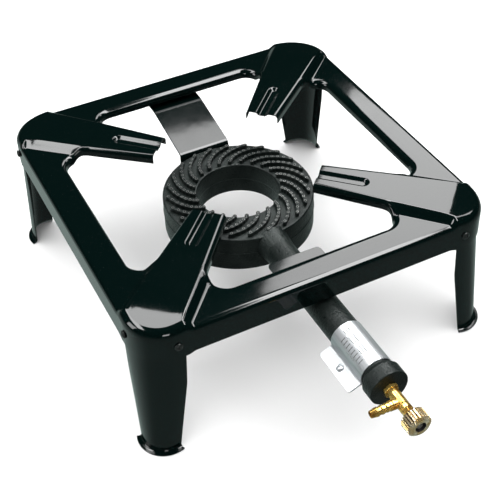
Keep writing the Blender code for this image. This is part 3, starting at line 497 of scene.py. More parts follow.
def onDiagonal(s, w):
    return Vector((s - w, s + w)) / math.sqrt(2)


def turnedDown(top, normal, radius, bottom, steps=6, rows=3):
    line = []
    for i in range(1, steps + 1):
        angle = math.pi / 2 * i / steps
        out = normal * radius * math.sin(angle)
        line.append(top + Vector((out.x, out.y, -radius * (1 - math.cos(angle)))))
    last = line[-1]
    for i in range(1, rows + 1):
        line.append(Vector((last.x, last.y, mix(last.z, bottom, i / rows))))
    return line


def innerEdge(top, normal, climb):
    spec = topFrame
    radius = mix(spec["roll"], spec["armRoll"], climb)
    return turnedDown(top, normal, radius, mix(spec["flangeBottom"], spec["armFlange"], climb))[::-1]


def acrossFrame(plan, u, climb, steps=9):
    spec = topFrame
    edge, normal = cornerOutline(u, spec["corner"])
    radius = mix(spec["edge"], spec["cornerEdge"], climb)
    outer = edge - normal * radius
    line = [framePoint(plan.lerp(outer, i / steps), climb) for i in range(steps + 1)]
    return line + turnedDown(line[-1], normal, radius, spec["skirtBottom"] - spec["cornerDrop"] * climb, 8, 4)


def frameColumns():
    spec = topFrame
    lean = math.sqrt(1 + spec["flare"] ** 2)
    centreY = spec["half"] - spec["railWidth"] + spec["roll"] - spec["arc"]
    across = centreY * (1 - spec["flare"]) / math.sqrt(2)
    across += spec["flare"] * spec["tip"] - spec["tipHalf"] - spec["arc"] * lean
    centre = Vector((across * math.sqrt(2) / (1 + spec["flare"]), centreY))
    endAngle = math.atan(spec["flare"]) - math.pi / 4
    arcLength = spec["corner"] * math.pi / 4
    side = spec["half"] - spec["corner"] + arcLength
    columns = []
    for i in range(9):
        x = centre.x * i / 9
        columns.append((Vector((x, centre.y + spec["arc"])), Vector((0, -1)), side - x, 0))
    panelU = arcLength + spec["flankPast"] + spec["flankOut"]
    flankAngle = math.acos(1 - spec["flank"] / spec["arc"])
    turns = []
    for i in range(9):
        share = i / 9
        turns.append((mix(math.pi / 2, endAngle + flankAngle, share), mix(side - centre.x, panelU, share), 0))
    for i in range(13):
        share = i / 12
        angle = endAngle + math.acos(1 - spec["flank"] * (1 - share) / spec["arc"])
        climb = share * share * (3 - 2 * share)
        turns.append((angle, panelU - spec["flankOut"] * share, climb))
    for angle, u, climb in turns:
        toward = Vector((math.cos(angle), math.sin(angle)))
        columns.append((centre + toward * spec["arc"], -toward, u, climb))
    return columns


def buildTopFrame():
    spec = topFrame
    columns = frameColumns()
    side = [innerEdge(framePoint(p, c), n, c) + acrossFrame(p, u, c) for p, n, u, c in columns]
    start, armNormal, armU = columns[-1][:3]
    startS = (start.x + start.y) / math.sqrt(2)
    arcShare = spec["corner"] * math.pi / 4 / armU
    shares = [1, 0.95] + [arcShare * i / 24 for i in range(24, -1, -1)]
    corner = [acrossFrame(onDiagonal(startS, armHalf(startS) * k), armU * k, 1) for k in shares]
    arm = []
    grooveEnd, step = spec["tip"] + spec["groove"], spec["grooveStep"]
    stops = [mix(spec["tip"], grooveEnd - 12 * step, i / 8) for i in range(9)]
    stops += [grooveEnd + step * (i - 11) for i in range(13)]  # close rows where the groove runs out
    stops += [mix(grooveEnd + 0.004, startS, i / 6) for i in range(7)]
    for s in stops:
        top = [framePoint(onDiagonal(s, armHalf(s) * k), 1) for k in shares]
        arm.append(innerEdge(top[0], armNormal, 1) + top)
    grids = []
    for rows in (list(zip(*side)), list(zip(*corner)), arm):
        grids.append(rows)
        grids.append([[Vector((p.y, p.x, p.z)) for p in row][::-1] for row in rows])
    piece = gridSheet("topFrame", grids)
    modify(piece, "MIRROR", use_axis=(True, True, False), merge_threshold=1e-5)
    modify(piece, "SOLIDIFY", thickness=spec["sheet"], offset=-1)
    softenEdges(piece, spec["edgeSoft"], 2, 60)
    return placed(piece, (0, middleY, 0))


frameShell = finished(buildTopFrame(), "topFrame", "stand", blackEnamel, ["top_frame"], 50)
print("top frame stamped,", len(frameShell.data.polygons), "faces")


# legs
corners = ("rear_right", "rear_left", "front_left", "front_right")  # a quarter turn apart
leg = {
    "sheet": 0.0015, "gap": 0.0003, "top": 0.150, "overlap": 0.0045, "kink": 0.088, "footHalf": 0.027,
    "footRadius": 0.024, "footArc": math.radians(65), "splay": 0.010, "splayTop": 0.125,
    "lipReach": 0.005, "lipBend": 0.003, "kinkSoft": 0.004, "edgeSoft": 0.0004,
    "rows": (0.012, 0.025, 0.040, 0.055, 0.070, 0.080, 0.086, 0.090, 0.096, 0.105, 0.115, 0.122, 0.128,
             0.139),
}


def legPoint(u, height, out):
    spec = leg
    centre = topFrame["half"] - topFrame["corner"]
    topRadius = topFrame["corner"] - topFrame["sheet"] - spec["gap"]
    splay = max(0, min(1, (spec["splayTop"] - height) / (spec["splayTop"] - spec["sheet"])))
    radius = mix(topRadius, spec["footRadius"], splay)
    most = radius * mix(math.pi / 4, spec["footArc"], splay)
    arc = max(-most, min(most, u))
    angle = math.pi / 4 + arc / radius
    normal = Vector((math.cos(angle), math.sin(angle)))
    along = Vector((-math.sin(angle), math.cos(angle)))
    middle = centre + (topRadius + spec["splay"] * splay - radius) * math.sqrt(0.5)
    point = Vector((middle, middle)) + (radius + out) * normal + (u - arc) * along
    return Vector((point.x, point.y, height))


def buildLegs():
    spec = leg
    full = (topFrame["corner"] - topFrame["sheet"] - spec["gap"]) * math.pi / 4 + spec["overlap"]
    line = [(spec["lipReach"], spec["sheet"]), (spec["lipBend"], spec["sheet"])]
    for i in range(1, 7):
        angle = math.pi / 2 * i / 6
        line.append((spec["lipBend"] * (1 - math.sin(angle)),
                     spec["sheet"] + spec["lipBend"] * (1 - math.cos(angle))))
    line += [(0, height) for height in (*spec["rows"], spec["top"])]
    rows = []
    for out, height in line:
        # the sides taper below a soft kink
        past, soft = spec["kink"] - height, spec["kinkSoft"]
        down = 0 if past < -soft else (past + soft) ** 2 / (4 * soft) if past < soft else past
        half = mix(full, spec["footHalf"], min(1, down / spec["kink"]))
        rows.append([legPoint(half * (i / 16 - 1), height, out) for i in range(33)])
    first = gridSheet("leg", [rows])
    modify(first, "SOLIDIFY", thickness=spec["sheet"], offset=-1, use_even_offset=True)
    softenEdges(first, spec["edgeSoft"], 2, 50)
    for quarter, corner in enumerate(corners):
        twin = copyOf(first, "leg")
        placed(twin, (0, middleY, 0), (0, 0, quarter * math.pi / 2))
        finished(twin, "leg_of_" + corner, "stand", blackEnamel, ["leg_" + corner], 40)
    bpy.data.objects.remove(first, do_unlink=True)


buildLegs()
print("legs pressed")


# screws and nuts
screwShop = {"steps": 32, "slotDepth": 0.62, "slotWidth": 0.22, "slotReach": 0.52}


def crossHeadScrew(sizes):
    spec = screwShop
    radius, headRadius = sizes["screwRadius"], sizes["screwHead"]
    headHeight, length = sizes["screwHeadHeight"], sizes["screwLength"]
    outline = roundedProfile([
        (headRadius * 0.05, headHeight), (headRadius * 0.55, headHeight * 0.96),
        (headRadius * 0.9, headHeight * 0.6), (headRadius, headHeight * 0.25), (headRadius, 0), (radius, 0),
        (radius, -length * 0.9), (radius * 0.8, -length),
    ], headHeight * 0.12, 3)
    screw = turned("screw", outline, spec["steps"])
    deep = headHeight * spec["slotDepth"]
    for turn in (0, math.pi / 2):
        bpy.ops.mesh.primitive_cube_add(size=1)
        slot = bpy.context.object
        slot.scale = (headRadius * 2 * spec["slotReach"], headRadius * spec["slotWidth"], deep * 2)
        placed(slot, (0, 0, headHeight), (0, 0, turn))
        editSelected(slot, faces=lambda face: face.normal.z < -0.9)  # narrower at its floor
        bpy.ops.transform.resize(value=(0.7, 0.7, 1), center_override=(0, 0, headHeight - deep))
        bpy.ops.object.mode_set(mode="OBJECT")
        combine(screw, slot, "DIFFERENCE")
    return screw


def hexNut(across, thick, bore, crown=0.0004):
    nut = cylinder(6, across / 2 / math.cos(math.pi / 6), thick)
    combine(nut, cylinder(28, bore, thick * 2), "DIFFERENCE")
    softenEdges(nut, crown, 2, 40)
    return nut


def aimed(piece, at, outward):
    # its own +Z turned to point outward, and its origin put at the place
    return placed(piece, at, Vector(outward).to_track_quat("Z", "Y").to_euler())


legScrew = {
    "fromArcEnd": 0.003, "height": 0.1436, "gap": 0.0003, "screwRadius": 0.0024, "screwHead": 0.0042,
    "screwHeadHeight": 0.0024, "screwLength": 0.0084, "nutAcross": 0.008, "nutThick": 0.004,
    "clearance": 0.00025,
}


def buildLegFasteners():
    spec = legScrew
    screw = crossHeadScrew(spec)
    nut = hexNut(spec["nutAcross"], spec["nutThick"], spec["screwRadius"] + spec["clearance"])
    reach = topFrame["corner"] * math.pi / 4 - spec["fromArcEnd"]
    for quarter, corner in enumerate(corners):
        for i, u in enumerate((-reach, reach)):
            point, normal = cornerOutline(u, topFrame["corner"])
            spin = Matrix.Rotation(quarter * math.pi / 2, 4, "Z")
            point = spin @ Vector((point.x, point.y, spec["height"])) + Vector((0, middleY, 0))
            normal = spin @ Vector((normal.x, normal.y, 0))
            tag = f"{corner}_{i + 1}"
            made = aimed(copyOf(screw, "screw"), point + normal * spec["gap"], normal)
            finished(made, "legScrew_" + tag, "stand", blackSteel, ["leg_screw_" + tag], 40)
            low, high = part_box("leg_nut_" + tag)
            made = aimed(copyOf(nut, "nut"), (low + high) / 2, normal)
            finished(made, "legNut_" + tag, "stand", blackSteel, ["leg_nut_" + tag], 30)
    for spare in (screw, nut):
        bpy.data.objects.remove(spare, do_unlink=True)


buildLegFasteners()
print("leg screws and nuts fitted")


# brackets that hold the burner
brackets = {
    "sheet": 0.002, "bend": 0.004, "edgeSoft": 0.0005, "rearWidth": 0.062, "frontWidth": 0.061,
    "frontReach": 0.127, "frontCorner": 0.005, "weld": 0.1975, "weldTop": 0.148, "rearLevel": 0.142,
    "slopeTop": 0.163, "slopeEnd": 0.1255, "tab": 0.0883, "boss": 0.105, "tabBelow": 0.008,
    "frontLevel": 0.1278, "riseFrom": 0.158, "riseTo": 0.170, "frontRaised": 0.134, "screwAt": 0.150,
    "hole": 0.00315, "screwRadius": 0.0029, "screwHead": 0.005, "screwHeadHeight": 0.003,
    "screwLength": 0.008, "screwLift": 0.0013,
}


def roundedPath(points, radius, steps=6):
    path = [Vector(points[0])]
    for before, corner, after in zip(points, points[1:], points[2:]):
        corner = Vector(corner)
        back, ahead = (Vector(before) - corner).normalized(), (Vector(after) - corner).normalized()
        half = back.angle(ahead) / 2
        centre = corner + (back + ahead).normalized() * radius / math.sin(half)
        start = corner + back * radius / math.tan(half) - centre
        end = corner + ahead * radius / math.tan(half) - centre
        path += [centre + radius * start.slerp(end, i / steps) for i in range(steps + 1)]
    return path + [Vector(points[-1])]


def bentStrip(name, path, halfWidth, ends=()):
    rows = [[p - Vector((w, 0, 0)), p + Vector((w, 0, 0))] for p, w in ends]
    rows += [[p - Vector((halfWidth, 0, 0)), p + Vector((halfWidth, 0, 0))] for p in path]
    strip = gridSheet(name, [rows])
    modify(strip, "SOLIDIFY", thickness=brackets["sheet"], offset=0, use_even_offset=True)
    return strip


def drilled(piece, at, direction, radius, depth=0.02):
    combine(piece, aimed(cylinder(32, radius, depth), at, direction), "DIFFERENCE")


def buildBrackets():
    spec = brackets
    weld, tab = spec["weld"], spec["tab"]
    path = roundedPath([
        (0, weld, spec["weldTop"]), (0, weld, spec["rearLevel"]), (0, spec["slopeTop"], spec["rearLevel"]),
        (0, tab, spec["slopeEnd"]), (0, tab, spec["boss"] - spec["tabBelow"]),
    ], spec["bend"])
    rear = bentStrip("rearBracket", path, spec["rearWidth"] / 2)
    drilled(rear, (0, tab, spec["boss"]), (0, 1, 0), spec["hole"])
    softenEdges(rear, spec["edgeSoft"], 2, 50)
    placed(rear, (0, middleY, 0))
    finished(rear, "rearBracket", "stand", blackEnamel, ["rear_bracket"], 40)

    level, inner = spec["frontLevel"], -spec["frontReach"]
    corner, half = spec["frontCorner"], spec["frontWidth"] / 2
    path = roundedPath([
        (0, inner - corner, level), (0, -spec["riseFrom"], level), (0, -spec["riseTo"], spec["frontRaised"]),
        (0, -weld, spec["frontRaised"]), (0, -weld, spec["weldTop"]),
    ], spec["bend"])
    ends = []
    for i in range(7):
        angle = math.pi / 2 * i / 7
        y, width = inner - corner * (1 - math.cos(angle)), half - corner * (1 - math.sin(angle))
        ends.append((Vector((0, y, level)), width))
    front = bentStrip("frontBracket", path, half, ends)
    faceOutward(front)
    drilled(front, (0, -spec["screwAt"], level), (0, 0, 1), spec["hole"])
    softenEdges(front, spec["edgeSoft"], 2, 50)
    placed(front, (0, middleY, 0))
    finished(front, "frontBracket", "stand", blackEnamel, ["front_bracket"], 40)

    screw = crossHeadScrew(spec)
    made = aimed(copyOf(screw, "screw"), (0, middleY + tab + spec["screwLift"], spec["boss"]), (0, 1, 0))
    finished(made, "ringScrew", "stand", blackSteel, ["ring_screw"], 40)
    made = aimed(screw, (0, middleY - spec["screwAt"], level + spec["screwLift"]), (0, 0, 1))
    finished(made, "tubeScrew", "stand", blackSteel, ["tube_screw"], 40)


buildBrackets()
print("brackets bent")


# burner casting
burner = {
    "ringRadius": 0.0845, "bore": 0.046, "top": 0.125, "bottom": 0.0825, "boreBottom": 0.0872,
    "edgeRound": 0.0022, "seam": 0.106, "seamProud": 0.0006,
    "ridges": 24, "ridgeTop": 0.1298, "ridgeSunk": 0.002, "ridgeWidth": 0.0042, "ridgeIn": 0.0475,
    "ridgeOut": 0.080, "sweep": math.radians(34),
    "portsPerRidge": 9, "portRadius": 0.0009, "rimRadius": 0.00125, "rim": 0.0003,
    "tube": 0.0165, "axis": 0.110, "tubeEnd": 0.311, "flange": 0.0205, "flangeLength": 0.015,
    "tubeBore": 0.0125, "windowLength": 0.028, "windowWidth": 0.016, "windowFront": 0.286,
    "valveBore": 0.00475, "tubeBossRadius": 0.008, "ringBossRadius": 0.0075, "ringBossHeight": 0.105,
}


def buildRing():
    spec = burner
    outer, inner = spec["ringRadius"], spec["bore"]
    low, high, seam, proud = spec["bottom"], spec["top"], spec["seam"], spec["seamProud"]
    profile = roundedProfile([
        (outer - 0.012, high), (outer, high), (outer, seam + proud), (outer + proud, seam),
        (outer, seam - proud), (outer, low), (inner + 0.006, low), (inner, spec["boreBottom"]),
        (inner, seam - 0.002), (inner - 0.0005, seam), (inner, high), (inner + 0.012, high),
    ], spec["edgeRound"], 4)
    return turned("ring", profile, 144, closed=True)


def ridgeLine(share):
    spec = burner
    angle = -spec["sweep"] * share ** 1.4
    reach = mix(spec["ridgeIn"], spec["ridgeOut"], share)
    return Vector((math.cos(angle) * reach, math.sin(angle) * reach, 0))


def portPlaces():
    spec = burner
    return [ridgeLine(0.05 + 0.9 * i / (spec["portsPerRidge"] - 1)) for i in range(spec["portsPerRidge"])]


def roundTheRing(piece):
    copies = [placed(copyOf(piece, piece.name), turn=(0, 0, 2 * math.pi * i / burner["ridges"]))
              for i in range(burner["ridges"])]
    bpy.data.objects.remove(piece, do_unlink=True)
    return placed(joinPieces(copies), (0, middleY, 0))


def buildRidges():
    spec = burner
    ports = spec["portsPerRidge"]
    steps = (ports - 1) * 6 + 4
    foot = spec["top"] - spec["ridgeSunk"]
    deselectAll()
    bpy.ops.mesh.primitive_plane_add(size=1)
    ridge = bpy.context.object
    editSelected(ridge, edges=lambda a, b: abs(a.x - b.x) > 0.5)
    bpy.ops.mesh.subdivide(number_cuts=steps - 1)
    bpy.ops.object.mode_set(mode="OBJECT")
    for vert in ridge.data.vertices:  # laid along its swirl, a little fuller round each port
        share = min(1, max(0, vert.co.x + 0.5))
        here = ridgeLine(share)
        ahead = (ridgeLine(min(1, share + 0.01)) - ridgeLine(max(0, share - 0.01))).normalized()
        side = Vector((-ahead.y, ahead.x, 0))
        full = 0.92 + 0.12 * math.cos(2 * math.pi * (share - 0.05) / 0.9 * (ports - 1))
        end = math.sqrt(max(0, 1 - max(0, abs(2 * share - 1) - 0.93) ** 2 / 0.0055))
        vert.co = here + side * vert.co.y * spec["ridgeWidth"] * full * max(0.35, end)
        vert.co += Vector((0, 0, foot))
    editSelected(ridge, faces=lambda face: True)
    bpy.ops.mesh.extrude_region_move(TRANSFORM_OT_translate={"value": (0, 0, spec["ridgeTop"] - foot)})
    bpy.ops.object.mode_set(mode="OBJECT")
    faceOutward(ridge)
    softenEdges(ridge, 0.0007, 2, 50)
    drills, rims = [], []
    for at in portPlaces():
        at.z = spec["ridgeTop"]
        drills.append(cylinder(10, spec["portRadius"], 0.003, at))
        bpy.ops.mesh.primitive_torus_add(major_segments=12, minor_segments=6, major_radius=spec["rimRadius"],
                                         minor_radius=spec["rim"], location=at)
        rims.append(bpy.context.object)
    combine(ridge, joinPieces(drills), "DIFFERENCE")
    ridge.name = "ridge"
    return roundTheRing(ridge), roundTheRing(joinPieces(rims))


def buildTube():
    spec = burner
    end, back = spec["tubeEnd"], spec["tubeEnd"] - spec["flangeLength"]
    profile = roundedProfile([
        (0.0048, end), (spec["flange"], end), (spec["flange"], back), (spec["tube"], back - 0.005),
        (spec["tube"], 0.100), (spec["tube"] + 0.0012, 0.088), (spec["tube"] + 0.003, 0.078), (0.010, 0.074),
    ], 0.0014, 4)
    tube = turned("tube", profile, 72)
    hollow = turned("hollow", [(spec["tubeBore"], end - 0.007), (spec["tubeBore"], 0.200)], 48)
    combine(tube, hollow, "DIFFERENCE")
    combine(tube, cylinder(32, spec["valveBore"], 0.020, (0, 0, end)), "DIFFERENCE")
    placed(tube, (0, middleY, spec["axis"]), (math.pi / 2, 0, 0))
    deselectAll()
    bpy.ops.mesh.primitive_cube_add(size=1)
    window = bpy.context.object
    window.scale = (0.040, spec["windowLength"], spec["windowWidth"])
    placed(window, (0, middleY - spec["windowFront"] + spec["windowLength"] / 2, spec["axis"]))
    softenEdges(window, 0.002, 3, 40)
    combine(tube, window, "DIFFERENCE")
    return tube


def buildPads():
    spec = burner
    ringBack = spec["ringRadius"] - 0.0005
    pads = []
    for radius, at, aim, depth in (
        (spec["tubeBossRadius"], (0, middleY - brackets["screwAt"], spec["axis"] + 0.0125), (0, 0, 1), 0.008),
        (spec["ringBossRadius"], (0, middleY + ringBack, spec["ringBossHeight"]), (0, 1, 0), 0.006),
    ):
        pad = cylinder(40, radius, depth)
        softenEdges(pad, 0.0007, 3, 40)
        drilled(pad, (0, 0, 0), (0, 0, 1), brackets["hole"])
        pads.append(aimed(pad, at, aim))
    return pads


def buildBurner():
    casting = placed(buildRing(), (0, middleY, 0))
    ridges, rims = buildRidges()
    for part in [buildTube()] + buildPads():
        combine(casting, part, "UNION")
    modify(casting, "WELD", merge_threshold=0.00002)
    finished(casting, "burnerCasting", "stand", castIron, ["burner_casting"], 35)
    finished(ridges, "portRidges", "stand", castIron, (), 35)
    # the port rims get the paler metal as a painted highlight
    finished(rims, "portRims", "stand", rimHighlightIron, (), 60)


buildBurner()
print("burner cast")


# air sleeve
sleeve = {
    "sheet": 0.0008, "radius": 0.01725, "length": 0.055, "middle": 0.2615, "tab": 0.0155, "corner": 0.003,
    "drop": math.radians(23), "slit": math.radians(5), "layer": 0.00055, "hole": 0.0021, "screwAt": 0.025,
    "screwRadius": 0.0019, "screwHead": 0.0037, "screwHeadHeight": 0.0024, "screwLength": 0.0075,
    "screwLift": 0.00125, "nutAcross": 0.007, "nutThick": 0.003, "nutBore": 0.00215,
}


def buildSleeve():
    spec = sleeve
    # the section is two layers of the tab, with the wrap round the tube between them
    radius, layer = spec["radius"], spec["layer"]
    tabEnd = radius + spec["tab"]
    section = [(tabEnd, -layer), (tabEnd - 0.005, -layer), (radius + 0.0025, -layer),
               (radius + 0.0008, -layer - 0.0002)]
    turns = 96
    for i in range(turns + 1):
        angle = -spec["slit"] - (2 * math.pi - 2 * spec["slit"]) * i / turns
        section.append((radius * math.cos(angle), radius * math.sin(angle)))
    section += [(x, -z) for x, z in section[3::-1]]
    rows = []
    half = spec["length"] / 2
    corner = spec["corner"]
    cuts = [(-half + corner * (1 - math.cos(a)), corner * (1 - math.sin(a)))
            for a in (0, math.radians(30), math.radians(60), math.radians(90))]
    cuts += [(y, 0) for y in (-half * 0.5, 0, half * 0.5)] + [(-y, c) for y, c in cuts[::-1]]
    for y, cut in cuts:
        row = []
        for k, (x, z) in enumerate(section):
            if k == 0 or k == len(section) - 1:
                x = tabEnd - cut
            row.append(Vector((x, y, z)))
        rows.append(row)
    sheet = gridSheet("airSleeve", [rows])
    modify(sheet, "SOLIDIFY", thickness=spec["sheet"], offset=0, use_even_offset=True)
    faceOutward(sheet)
    drilled(sheet, (spec["screwAt"], 0, 0), (0, 0, 1), spec["hole"])
    aim = (0, math.pi - spec["drop"], 0)
    at = (0, middleY - spec["middle"], burner["axis"])
    placed(sheet, at, aim)
    finished(sheet, "airSleeve", "sleeve", sleeveZinc, ["air_sleeve"], 40)

    pose = Matrix.Translation(at) @ Matrix.Rotation(aim[1], 4, "Y")
    screw = crossHeadScrew(spec)
    up = pose.to_3x3() @ Vector((0, 0, -1))
    aimed(screw, pose @ Vector((spec["screwAt"], 0, -spec["screwLift"])), up)
    finished(screw, "sleeveScrew", "sleeve", screwZinc, ["sleeve_screw"], 40)
    low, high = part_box("sleeve_nut")
    nut = aimed(hexNut(spec["nutAcross"], spec["nutThick"], spec["nutBore"]), (low + high) / 2, up)
    finished(nut, "sleeveNut", "sleeve", screwZinc, ["sleeve_nut"], 30)


buildSleeve()
print("air sleeve wrapped")


# valve, on the mixing tube's axis
valve = {
    "nutAcross": 0.014, "nutThick": 0.004, "gap": 0.0003, "stub": 0.0045, "body": 0.006, "bodyLength": 0.024,
    "barbAt": 0.3284, "glandAcross": 0.011, "glandLength": 0.005, "glandBore": 0.00225, "knobBack": 0.3471,
    "knobLength": 0.015, "knobRadius": 0.0127, "flutes": 26, "fluteDepth": 0.0012, "faceRadius": 0.009,
    "recessRadius": 0.0056, "screwRadius": 0.0012, "screwHead": 0.003, "screwHeadHeight": 0.0016,
    "screwLength": 0.0068, "screwIn": 0.0027,
}


def alongAxis(piece):
    return placed(piece, (0, middleY, burner["axis"]), (math.pi / 2, 0, 0))


def hexBar(across, low, high, crown=0.0005):
    bar = cylinder(6, across / 2 / math.cos(math.pi / 6), high - low)
    placed(bar, (0, 0, (low + high) / 2), (0, 0, math.radians(12)))
    softenEdges(bar, crown, 3, 40)
    return bar


def buildValve():
    spec = valve
    end, gap = burner["tubeEnd"], spec["gap"]
    nutFront = end + gap + spec["nutThick"]
    nut = hexBar(spec["nutAcross"], end + gap, nutFront)
    drilled(nut, (0, 0, end), (0, 0, 1), burner["valveBore"], 0.03)
    finished(alongAxis(nut), "lockNut", "stand", yellowBrass, ["lock_nut"], 30)

    low = nutFront + gap
    high = low + spec["bodyLength"]
    wide, waist, stub = spec["body"], spec["body"] - 0.0008, spec["stub"]
    body = turned("valveBody", roundedProfile([
        (stub, end + gap), (stub, low), (wide, low), (wide, high - 0.006), (waist, high - 0.0055),
        (waist, high - 0.0045), (wide, high - 0.004), (wide, high), (0.0036, high), (0.0036, high - 0.002),
    ], 0.0004, 3), 48)
    alongAxis(body)
    at = (0, middleY - spec["barbAt"], burner["axis"])
    boss = turned("boss", roundedProfile([(0.0052, 0.002), (0.0052, 0.009), (0.0024, 0.009), (0.0024, 0.006)],
                                         0.0005, 3), 40)
    placed(boss, at, (0, -math.pi / 2, 0))
    combine(body, boss, "UNION")
    finished(body, "valveBody", "stand", yellowBrass, ["valve_body"], 35)

    barb = turned("hoseBarb", roundedProfile([
        (0.0026, 0.0285), (0.0027, 0.0318), (0.0036, 0.0320), (0.0046, 0.0262), (0.0047, 0.0246),
        (0.0041, 0.0243), (0.0041, 0.0218), (0.0046, 0.0202), (0.0046, 0.0190), (0.0041, 0.0187),
        (0.0041, 0.0168), (0.0046, 0.0152), (0.0046, 0.0140), (0.0042, 0.0137), (0.0042, 0.0124),
        (0.0050, 0.0120), (0.0050, 0.0093), (0.0026, 0.0093),
    ], 0.00025, 2), 48)
    placed(barb, at, (0, -math.pi / 2, 0))
    finished(barb, "hoseBarb", "stand", yellowBrass, ["hose_barb"], 35)

    gland = hexBar(spec["glandAcross"], high + gap, high + gap + spec["glandLength"])
    drilled(gland, (0, 0, high), (0, 0, 1), spec["glandBore"], 0.03)
    finished(alongAxis(gland), "glandNut", "stand", yellowBrass, ["gland_nut"], 30)


def buildKnob():
    spec = valve
    proud = spec["knobRadius"] - 0.0001
    # the rim's copy of the plate carries painted shade in the flutes
    rimPlate = knobPlate.copy()
    paintFluteShade(rimPlate, burner["axis"], proud - spec["fluteDepth"], proud)
    back, front = spec["knobBack"], spec["knobBack"] + spec["knobLength"]
    radius, steps = spec["knobRadius"], spec["flutes"] * 6
    knob = turned("knob", roundedProfile([
        (0.0024, back), (radius - 0.0022, back), (radius, back + 0.0016), (radius, front - 0.0022),
        (radius - 0.0030, front), (0.0055, front), (0.0052, front - 0.003), (0.0016, front - 0.003),
    ], 0.0009, 4), steps)
    # every flute is three rows of points pressed in along the rim
    step = 2 * math.pi / steps

    def inFlute(point):
        onWall = math.hypot(point.x, point.y) >= radius - 0.0012
        if not onWall or not back + 0.0008 < point.z < front - 0.0012:
            return False
        return round((math.atan2(point.y, point.x) % (2 * math.pi)) / step) % 6 in (0, 1, 2)
    editSelected(knob, verts=inFlute)
    press = 1 - spec["fluteDepth"] / radius
    bpy.ops.transform.resize(value=(press, press, 1), center_override=(0, 0, 0))
    bpy.ops.object.mode_set(mode="OBJECT")
    finished(alongAxis(knob), "valveKnob", "knob", knobPlate, ["knob"], 30)
    knob.data.materials.append(rimPlate)
    knob.data.materials.append(recessShade)
    # faces in the front recess take the near-black painted shade, faces on the rim take the plate with
    # painted flute shade
    for face in knob.data.polygons:
        out = math.hypot(face.center.x, face.center.z - burner["axis"])
        onRim = out > spec["faceRadius"] and abs(face.normal.y) < 0.5
        face.material_index = 1 if onRim else 2 if out < spec["recessRadius"] else 0

    screw = crossHeadScrew(spec)
    placed(screw, (0, middleY - (front - spec["screwIn"]), burner["axis"]), (math.pi / 2, 0, 0))
    finished(screw, "knobScrew", "knob", darkSteel, ["knob_screw"], 40)


buildValve()
buildKnob()
for node, material in (("injector", yellowBrass), ("spindle", yellowBrass), ("packing_ring", graphite)):
    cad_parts[node].data.materials.clear()
    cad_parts[node].data.materials.append(material)
print("valve and knob turned")


# floor, lights and camera
studio = {
    "floor": 6.0, "floorColour": (0.86, 0.86, 0.86), "above": 0.012, "belowFront": 0.16, "belowRear": 0.5,
    "air": (0.80, 1.0, 0.94), "ceilingSize": 4.4, "ceiling": 4.3,
}
cards = {  # name: place, what it faces, width, depth, turn about its own axis, brightness
    "leftSoftbox": ((-2.5, 0.5, 1.3), (0, 0.1, 0.1), 0.8, 1.4, 0, 5.0),
    "rightCard": ((1.147, 1.230, 1.5), (1.147, 1.230, 0), 0.68, 1.05, -45, 5.8),
    "cornerCard": ((-0.136, 0.622, 1.5), (-0.136, 0.622, 0), 0.5, 0.34, 0, 7.0),
    "bracketCard": ((0.50, 0.825, 1.5), (0.50, 0.825, 0), 0.28, 0.17, 0, 6.0),
    "frontCard": ((0.62, -0.06, 1.5), (0.62, -0.06, 0), 0.5, 1.6, 0, 12.0),
    "flankCard": ((1.25, 0.43, 1.5), (1.25, 0.43, 0), 1.4, 0.38, -25.5, 5.5),
    "leftCard": ((-0.816, 0.355, 1.5), (-0.816, 0.355, 0), 1.28, 0.34, 41, 9.0),
    "lowCard": ((-0.9, -1.9, 0.9), (0, 0, 0.1), 0.5, 0.5, 0, 6.0),
}


def makeFloor():
    deselectAll()
    bpy.ops.mesh.primitive_plane_add(size=studio["floor"], location=(0, 0, -0.0005))
    floor = bpy.context.object
    floor.name = "floor"
    material, _, _, shader, _ = newMaterial("paperFloor", studio["floorColour"], 0.9)
    shader.inputs["Specular IOR Level"].default_value = 0.0
    floor.data.materials.append(material)
    floor.visible_glossy = False  # the gloss shows the dark room instead


def areaLight(name, at, aim, width, depth, turn, power):
    light = bpy.data.lights.new(name, "AREA")
    light.energy = power * width * depth * math.pi
    light.shape = "RECTANGLE"
    light.size, light.size_y = width, depth
    lamp = bpy.data.objects.new(name, light)
    bpy.context.scene.collection.objects.link(lamp)
    facing = (Vector(aim) - Vector(at)).to_track_quat("-Z", "Y")
    lamp.location = at
    spin = Matrix.Rotation(math.radians(turn), 3, "Z").to_quaternion()
    lamp.rotation_euler = (facing @ spin).to_euler()
    return lamp


def spreadOf(nodes, links, value, low, high, fromLow, fromHigh):
    spread = nodes.new("ShaderNodeMapRange")
    spread.interpolation_type = "SMOOTHSTEP"
    spread.inputs["From Min"].default_value = fromLow
    spread.inputs["From Max"].default_value = fromHigh
    spread.inputs["To Min"].default_value = low
    spread.inputs["To Max"].default_value = high
    links.new(value, spread.inputs["Value"])
    return spread


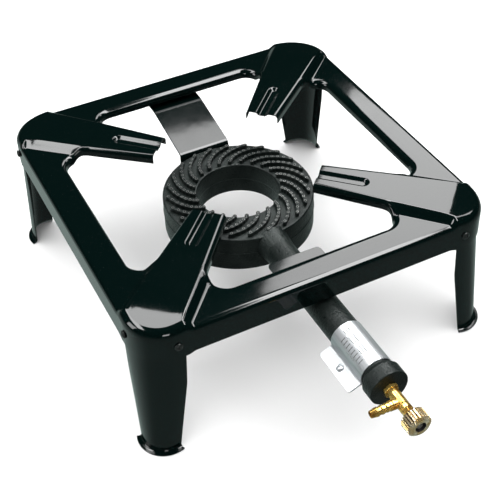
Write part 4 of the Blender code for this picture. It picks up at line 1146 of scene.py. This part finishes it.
def makeRoom():
    # dark overhead, paler below the horizon and more so to the rear
    world = bpy.data.worlds.new("studioAir")
    bpy.context.scene.world = world
    world.use_nodes = True
    nodes, links = world.node_tree.nodes, world.node_tree.links
    split = nodes.new("ShaderNodeSeparateXYZ")
    links.new(nodes.new("ShaderNodeTexCoord").outputs["Generated"], split.inputs["Vector"])
    rear = spreadOf(nodes, links, split.outputs["Y"], studio["belowFront"], studio["belowRear"], -0.3, 0.6)
    height = spreadOf(nodes, links, split.outputs["Z"], 1, studio["above"], -0.35, 0.1)
    links.new(rear.outputs["Result"], height.inputs["To Min"])
    links.new(height.outputs["Result"], nodes["Background"].inputs["Strength"])
    nodes["Background"].inputs["Color"].default_value = (*studio["air"], 1)


def makeStudio():
    makeRoom()
    bpy.context.scene.view_settings.view_transform = "Standard"
    for name, settings in cards.items():
        areaLight(name, *settings).visible_diffuse = False  # seen in the gloss, casting no shadows
    size = studio["ceilingSize"]
    ceiling = areaLight("ceiling", (0, 0.3, 2.6), (0, 0.1, 0), size, size, 0, studio["ceiling"])
    ceiling.visible_glossy = False


view = {
    "azimuth": -25.08, "elevation": 39.92, "roll": -2.47, "distance": 1.2016, "target": 0.100,
    "lens": 76.45, "sensor": 36, "shiftX": 0.0224, "shiftY": -0.0856,
}


def makeCamera():
    azimuth, elevation, roll = (math.radians(view[name]) for name in ("azimuth", "elevation", "roll"))
    target = Vector((0, middleY, view["target"]))
    back = Vector((math.sin(azimuth) * math.cos(elevation), -math.cos(azimuth) * math.cos(elevation),
                   math.sin(elevation)))
    right = Vector((math.cos(azimuth), math.sin(azimuth), 0))
    up = back.cross(right)
    turnedRight = right * math.cos(roll) + up * math.sin(roll)
    turnedUp = up * math.cos(roll) - right * math.sin(roll)
    camera = bpy.data.cameras.new("camera")
    camera.lens = view["lens"]
    camera.sensor_width = view["sensor"]
    camera.shift_x = view["shiftX"]
    camera.shift_y = view["shiftY"]
    camera.clip_start = 0.05
    holder = bpy.data.objects.new("camera", camera)
    bpy.context.scene.collection.objects.link(holder)
    pose = Matrix((turnedRight, turnedUp, back)).transposed().to_4x4()
    pose.translation = target + back * view["distance"]
    holder.matrix_world = pose
    bpy.context.scene.camera = holder


makeFloor()
makeStudio()
makeCamera()
print("studio set")
